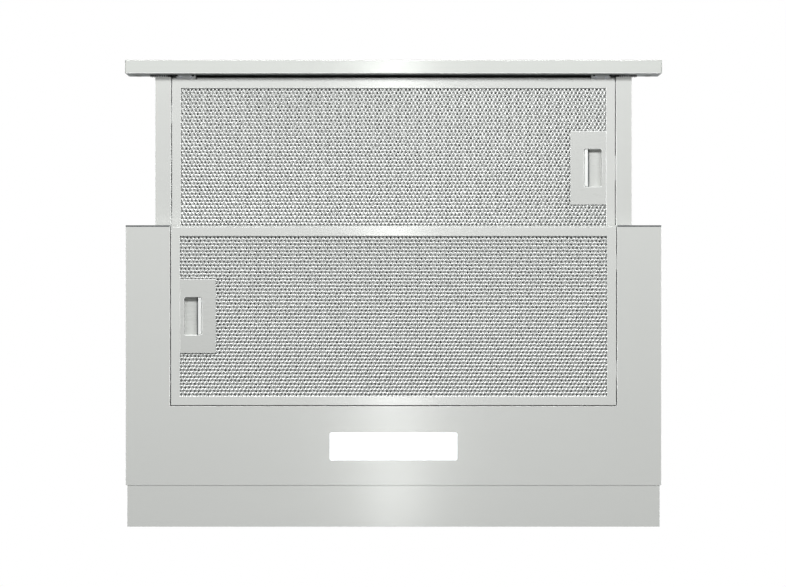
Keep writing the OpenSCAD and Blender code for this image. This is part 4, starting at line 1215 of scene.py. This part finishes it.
@dataclass
class Slider:
    """The pull-out part: tray, fascia, controls, clips and rails."""

    edge_round: float = 0.4
    roof_bead_xs: range = range(-210, 211, 60)
    roof_bead_hx: float = 9.0
    roof_bead_from: float = 22.0
    roof_bead_to: float = 190.0
    clip_x0: float = 222.0
    clip_shade_w: float = 2.6
    clip_shade_low: float = 14.0
    clip_shade_top: float = 15.2
    gap_shade_z: float = 26.0
    rack_x0: float = 254.0
    rack_x1: float = 265.6
    rack_low: float = 14.9
    rack_top: float = 23.6
    front_round: float = 0.5
    rear_round: float = 1.0
    button_r: float = 6.0
    button_pitch: float = 24.0
    button_names: tuple[str, ...] = ("lamp", "low", "medium", "high")
    fascia: Box = field(default_factory=lambda: Box.of("fascia_panel"))

    def build(self) -> None:
        """Makes the tray, the fascia, the controls and the small parts behind it."""
        roof_z = self.build_tray()
        self.build_fittings(roof_z)
        self.build_fascia()
        self.build_buttons()
        dress(Dressed("control_bezel", BEZEL, 0.3, 3), Dressed("control_board", BOARD, 0.15),
              Dressed("fascia_clips", CLIP, 0.25), Dressed("fascia_screws", ZINC, 0.12, 1),
              Dressed("fascia_adjusters", BLACK, 0.15, 1),
              Dressed("slider_bumpers", BUMPER, 0.25, 3))
        for side in ("left", "right"):
            for member in ("inner", "mid", "outer"):
                Dressed(f"rail_{member}_{side}", ZINC, 0.2).build()
        Dressed("rail_brackets", ZINC, 0.25, 1).build()

    def build_tray(self) -> float:
        """Makes the tray with the beads of its roof.

        Returns:
            The height of the roof's upper face.
        """
        box = Box.of("slider_tray")
        tray = Shape.of_node("slider_tray")
        lower_edges = low_edges(20, box.z0 + 0.02)
        # The tray's long lower edges take the near-white edge finish, a painted highlight.
        tray.soften(self.edge_round, 3, where=lower_edges, material=1).soften(0.14, 1)
        for x in self.roof_bead_xs:
            tray.block(x - self.roof_bead_hx, x + self.roof_bead_hx,
                       box.y0 + self.roof_bead_from, box.y0 + self.roof_bead_to,
                       box.z1 - 0.3, box.z1 + 0.7, 0.6)
        tray.piece("tray_made", PAN, "slider", ["slider_tray"], others=(PAN.painted_highlight_edge(),))
        return box.z1

    def build_fittings(self, roof_z: float) -> None:
        """Makes a black strip behind the fascia and black blocks at the clips' ends, painted shade of
        the gap there, and the adjusters' racks.

        Args:
            roof_z: the height of the tray's roof, under which the black strip ends.
        """
        rear = self.fascia.y1
        # The black strip and blocks paint the shade in the gap behind the fascia and at the clips'
        # ends.
        gap_shade = Shape()
        gap_shade.block(-self.clip_x0 + 0.6, self.clip_x0 - 0.6, rear + 0.02, rear + 2.3,
                   self.gap_shade_z, roof_z - 1.1, 0.4)
        for x in (self.clip_x0 + 1.6, self.clip_x0 + 20.0):
            for x0 in (x, -x - self.clip_shade_w):
                gap_shade.block(x0, x0 + self.clip_shade_w, rear + 0.2, rear + 1.8, self.clip_shade_low,
                           self.clip_shade_top, 0.3)
        gap_shade.piece("fascia_gap_shade", GAP_SHADE, "slider")
        racks = Shape()
        for x0, x1 in ((-self.rack_x1, -self.rack_x0), (self.rack_x0, self.rack_x1)):
            racks.block(x0, x1, rear + 0.55, rear + 2.25, self.rack_low, self.rack_top, 0.1)
        racks.piece("adjuster_racks", CLIP, "slider")

    def is_rolled(self, edge: bmesh.types.BMEdge, y: float) -> bool:
        """Tells whether an edge of the fascia is a long one along its top or bottom.

        Args:
            edge: an edge of the panel.
            y: the place of the face that it has to lie on.

        Returns:
            Whether it is.
        """
        at = edge.verts[0].co
        off = min(abs(at.z - z) for z in (self.fascia.z0, self.fascia.z1))
        return edge.calc_length() > 500 and abs(at.y - y) < 0.01 and off < 0.01

    def build_fascia(self) -> None:
        """Makes the fascia with its long edges rolled, the rear ones near-white as painted highlight,
        its back matte and darker as painted shade, and its end caps.
        """
        panel = Shape.of_node("fascia_panel")
        for y, radius, look in ((self.fascia.y0, self.front_round, -1),
                                (self.fascia.y1, self.rear_round, 1)):
            panel.soften(radius, 4, where=lambda e: self.is_rolled(e, y), material=look)
        panel.soften(0.15, 1)
        # The back faces take the darker matte finish: painted shade on the rear face.
        for face in panel.bm.faces:
            if face.normal.y > 0.97 and face.calc_center_median().y > self.fascia.y1 - 0.05:
                face.material_index = 2
        panel.piece("fascia_made", FASCIA, "slider", ["fascia_panel"],
                    others=(FASCIA.painted_highlight_edge(), FASCIA_BACK_SHADE))
        caps = Shape.of_node("fascia_end_caps").soften(0.7, 3)
        caps.piece("fascia_caps_made", FASCIA, "slider", ["fascia_end_caps"])

    def build_buttons(self) -> None:
        """Makes the push buttons with dished faces."""
        r = self.button_r
        bezel_x, _, z = Box.of("control_bezel").middle
        first_x = bezel_x - self.button_pitch * (len(self.button_names) - 1) / 2
        profile = [(0, 0.45), (r * 0.45, 0.36), (r * 0.75, 0.12), (r - 0.7, 0.0), (r - 0.2, 0.12),
                   (r, 0.5), (r, 2.9), (r + 1.2, 3.0), (r + 1.2, 4.1), (r, 4.1), (r, 5.8), (0, 5.8)]
        for i, name in enumerate(self.button_names):
            button = Shape()
            button.turned(profile, (first_x + i * self.button_pitch, self.fascia.y0, z), Axis.Y, 48)
            button.piece(f"button_{name}_made", BUTTON, f"button_{name}", [f"button_{name}"])


# Studio


@dataclass(frozen=True)
class Lamp:
    """A rectangular soft lamp that the camera doesn't see, in metres and watts."""

    name: str
    at: Point
    to: Point
    size: tuple[float, float]
    power: float

    def build(self) -> None:
        """Hangs the lamp and turns it towards the point that it lights."""
        data = bpy.data.lights.new(self.name, "AREA")
        data.shape = "RECTANGLE"
        data.size, data.size_y = self.size
        data.energy = self.power
        made = bpy.data.objects.new(self.name, data)
        made.location = self.at
        aim = Vector(self.to) - Vector(self.at)
        made.rotation_euler = aim.to_track_quat("-Z", "Y").to_euler()
        made.visible_camera = False
        bpy.context.scene.collection.objects.link(made)


LAMPS = (
    Lamp("band", (0.0, -0.235, -2.96), (0.0, -0.235, 0.0), (0.06, 1.13), 0.82),
    Lamp("band_front", (0.0, -0.65, -2.96), (0.0, -0.65, 0.0), (0.06, 0.8), 0.25),
    Lamp("key", (0.0, -0.9, -1.15), (0.0, -0.35, 0.0), (1.8, 0.2), 22.2),
    Lamp("upper_left", (-2.0, -1.6, 2.4), (0.0, -0.2, 0.1), (1.6, 1.6), 55),
    Lamp("upper_right", (2.2, 1.0, 1.8), (0.0, -0.2, 0.1), (1.4, 1.4), 40),
)


@dataclass
class Studio:
    """The camera, the world and the floor, in metres."""

    camera_at: Point = (-0.00056, -0.214, -2.9)
    lens: float = 118.96
    sensor: float = 36.0
    nearest: float = 0.05
    furthest: float = 60.0
    floor_z: float = -5.6
    floor_half: float = 14.0
    sky: float = 0.113
    floor_glow: float = 0.70

    def camera(self) -> None:
        """Puts the camera under the hood, looking straight up, with the fascia at the top."""
        data = bpy.data.cameras.new("camera")
        data.lens = self.lens
        data.sensor_width = self.sensor
        data.clip_start = self.nearest
        data.clip_end = self.furthest
        made = bpy.data.objects.new("camera", data)
        made.location = self.camera_at
        made.rotation_euler = (math.pi, 0, 0)
        bpy.context.scene.collection.objects.link(made)
        bpy.context.scene.camera = made

    @staticmethod
    def seen(sketch: NodeSketch) -> bpy.types.NodeSocket:
        """Gives 1 where the eye sees a surface, straight or in gloss or glass, and else 0."""
        path = sketch.add("ShaderNodeLightPath")
        mirrored = sketch.calc("MAXIMUM", path.outputs["Is Glossy Ray"],
                               path.outputs["Is Transmission Ray"])
        return sketch.calc("MAXIMUM", path.outputs["Is Camera Ray"], mirrored)

    def world(self) -> None:
        """Makes a plain white world, dimmer where it lights the object."""
        world = bpy.data.worlds.new("studio")
        world.use_nodes = True
        bpy.context.scene.world = world
        sketch = NodeSketch(world.node_tree)
        back = world.node_tree.nodes["Background"]
        strength = sketch.calc("MULTIPLY_ADD", self.seen(sketch), 1 - self.sky, self.sky)
        sketch.feed(back, Color=(1, 1, 1, 1), Strength=strength)

    def floor(self) -> None:
        """Lays a pale floor far below the hood and the camera."""
        shape = Shape()
        bmesh.ops.create_grid(shape.bm, x_segments=4, y_segments=4, size=self.floor_half)
        mesh = bpy.data.meshes.new("floor")
        shape.bm.to_mesh(mesh)
        shape.bm.free()
        made = bpy.data.objects.new("floor", mesh)
        made.location = (0, 0, self.floor_z)
        bpy.context.scene.collection.objects.link(made)
        look = bpy.data.materials.new("floor_look")
        look.use_nodes = True
        sketch = NodeSketch(look.node_tree)
        shader = look.node_tree.nodes["Principled BSDF"]
        glow = sketch.calc("MULTIPLY", self.seen(sketch), self.floor_glow)
        sketch.feed(shader, Base_Color=(0.82, 0.82, 0.81, 1), Roughness=0.9,
                    Emission_Color=(1, 1, 1, 1), Emission_Strength=glow)
        made.data.materials.append(look)

    def build(self) -> None:
        """Sets up everything that isn't the object."""
        self.camera()
        self.world()
        self.floor()
        for lamp in LAMPS:
            lamp.build()
        bpy.context.scene.view_settings.view_transform = "Standard"


def main() -> None:
    """Builds the studio and the hood in order."""
    logging.basicConfig(level=logging.INFO, format="%(name)s: %(message)s")
    Studio().build()
    LowerPan().build()
    UpperHousing().build()
    DuctCollar().build()
    FanUnit().build()
    Electrics().build()
    Slider().build()
    GreaseFilter("front", "slider", turned_round=True).build()
    GreaseFilter("rear", "rear_filter", turned_round=False).build()


if __name__ == "__main__":
    main()
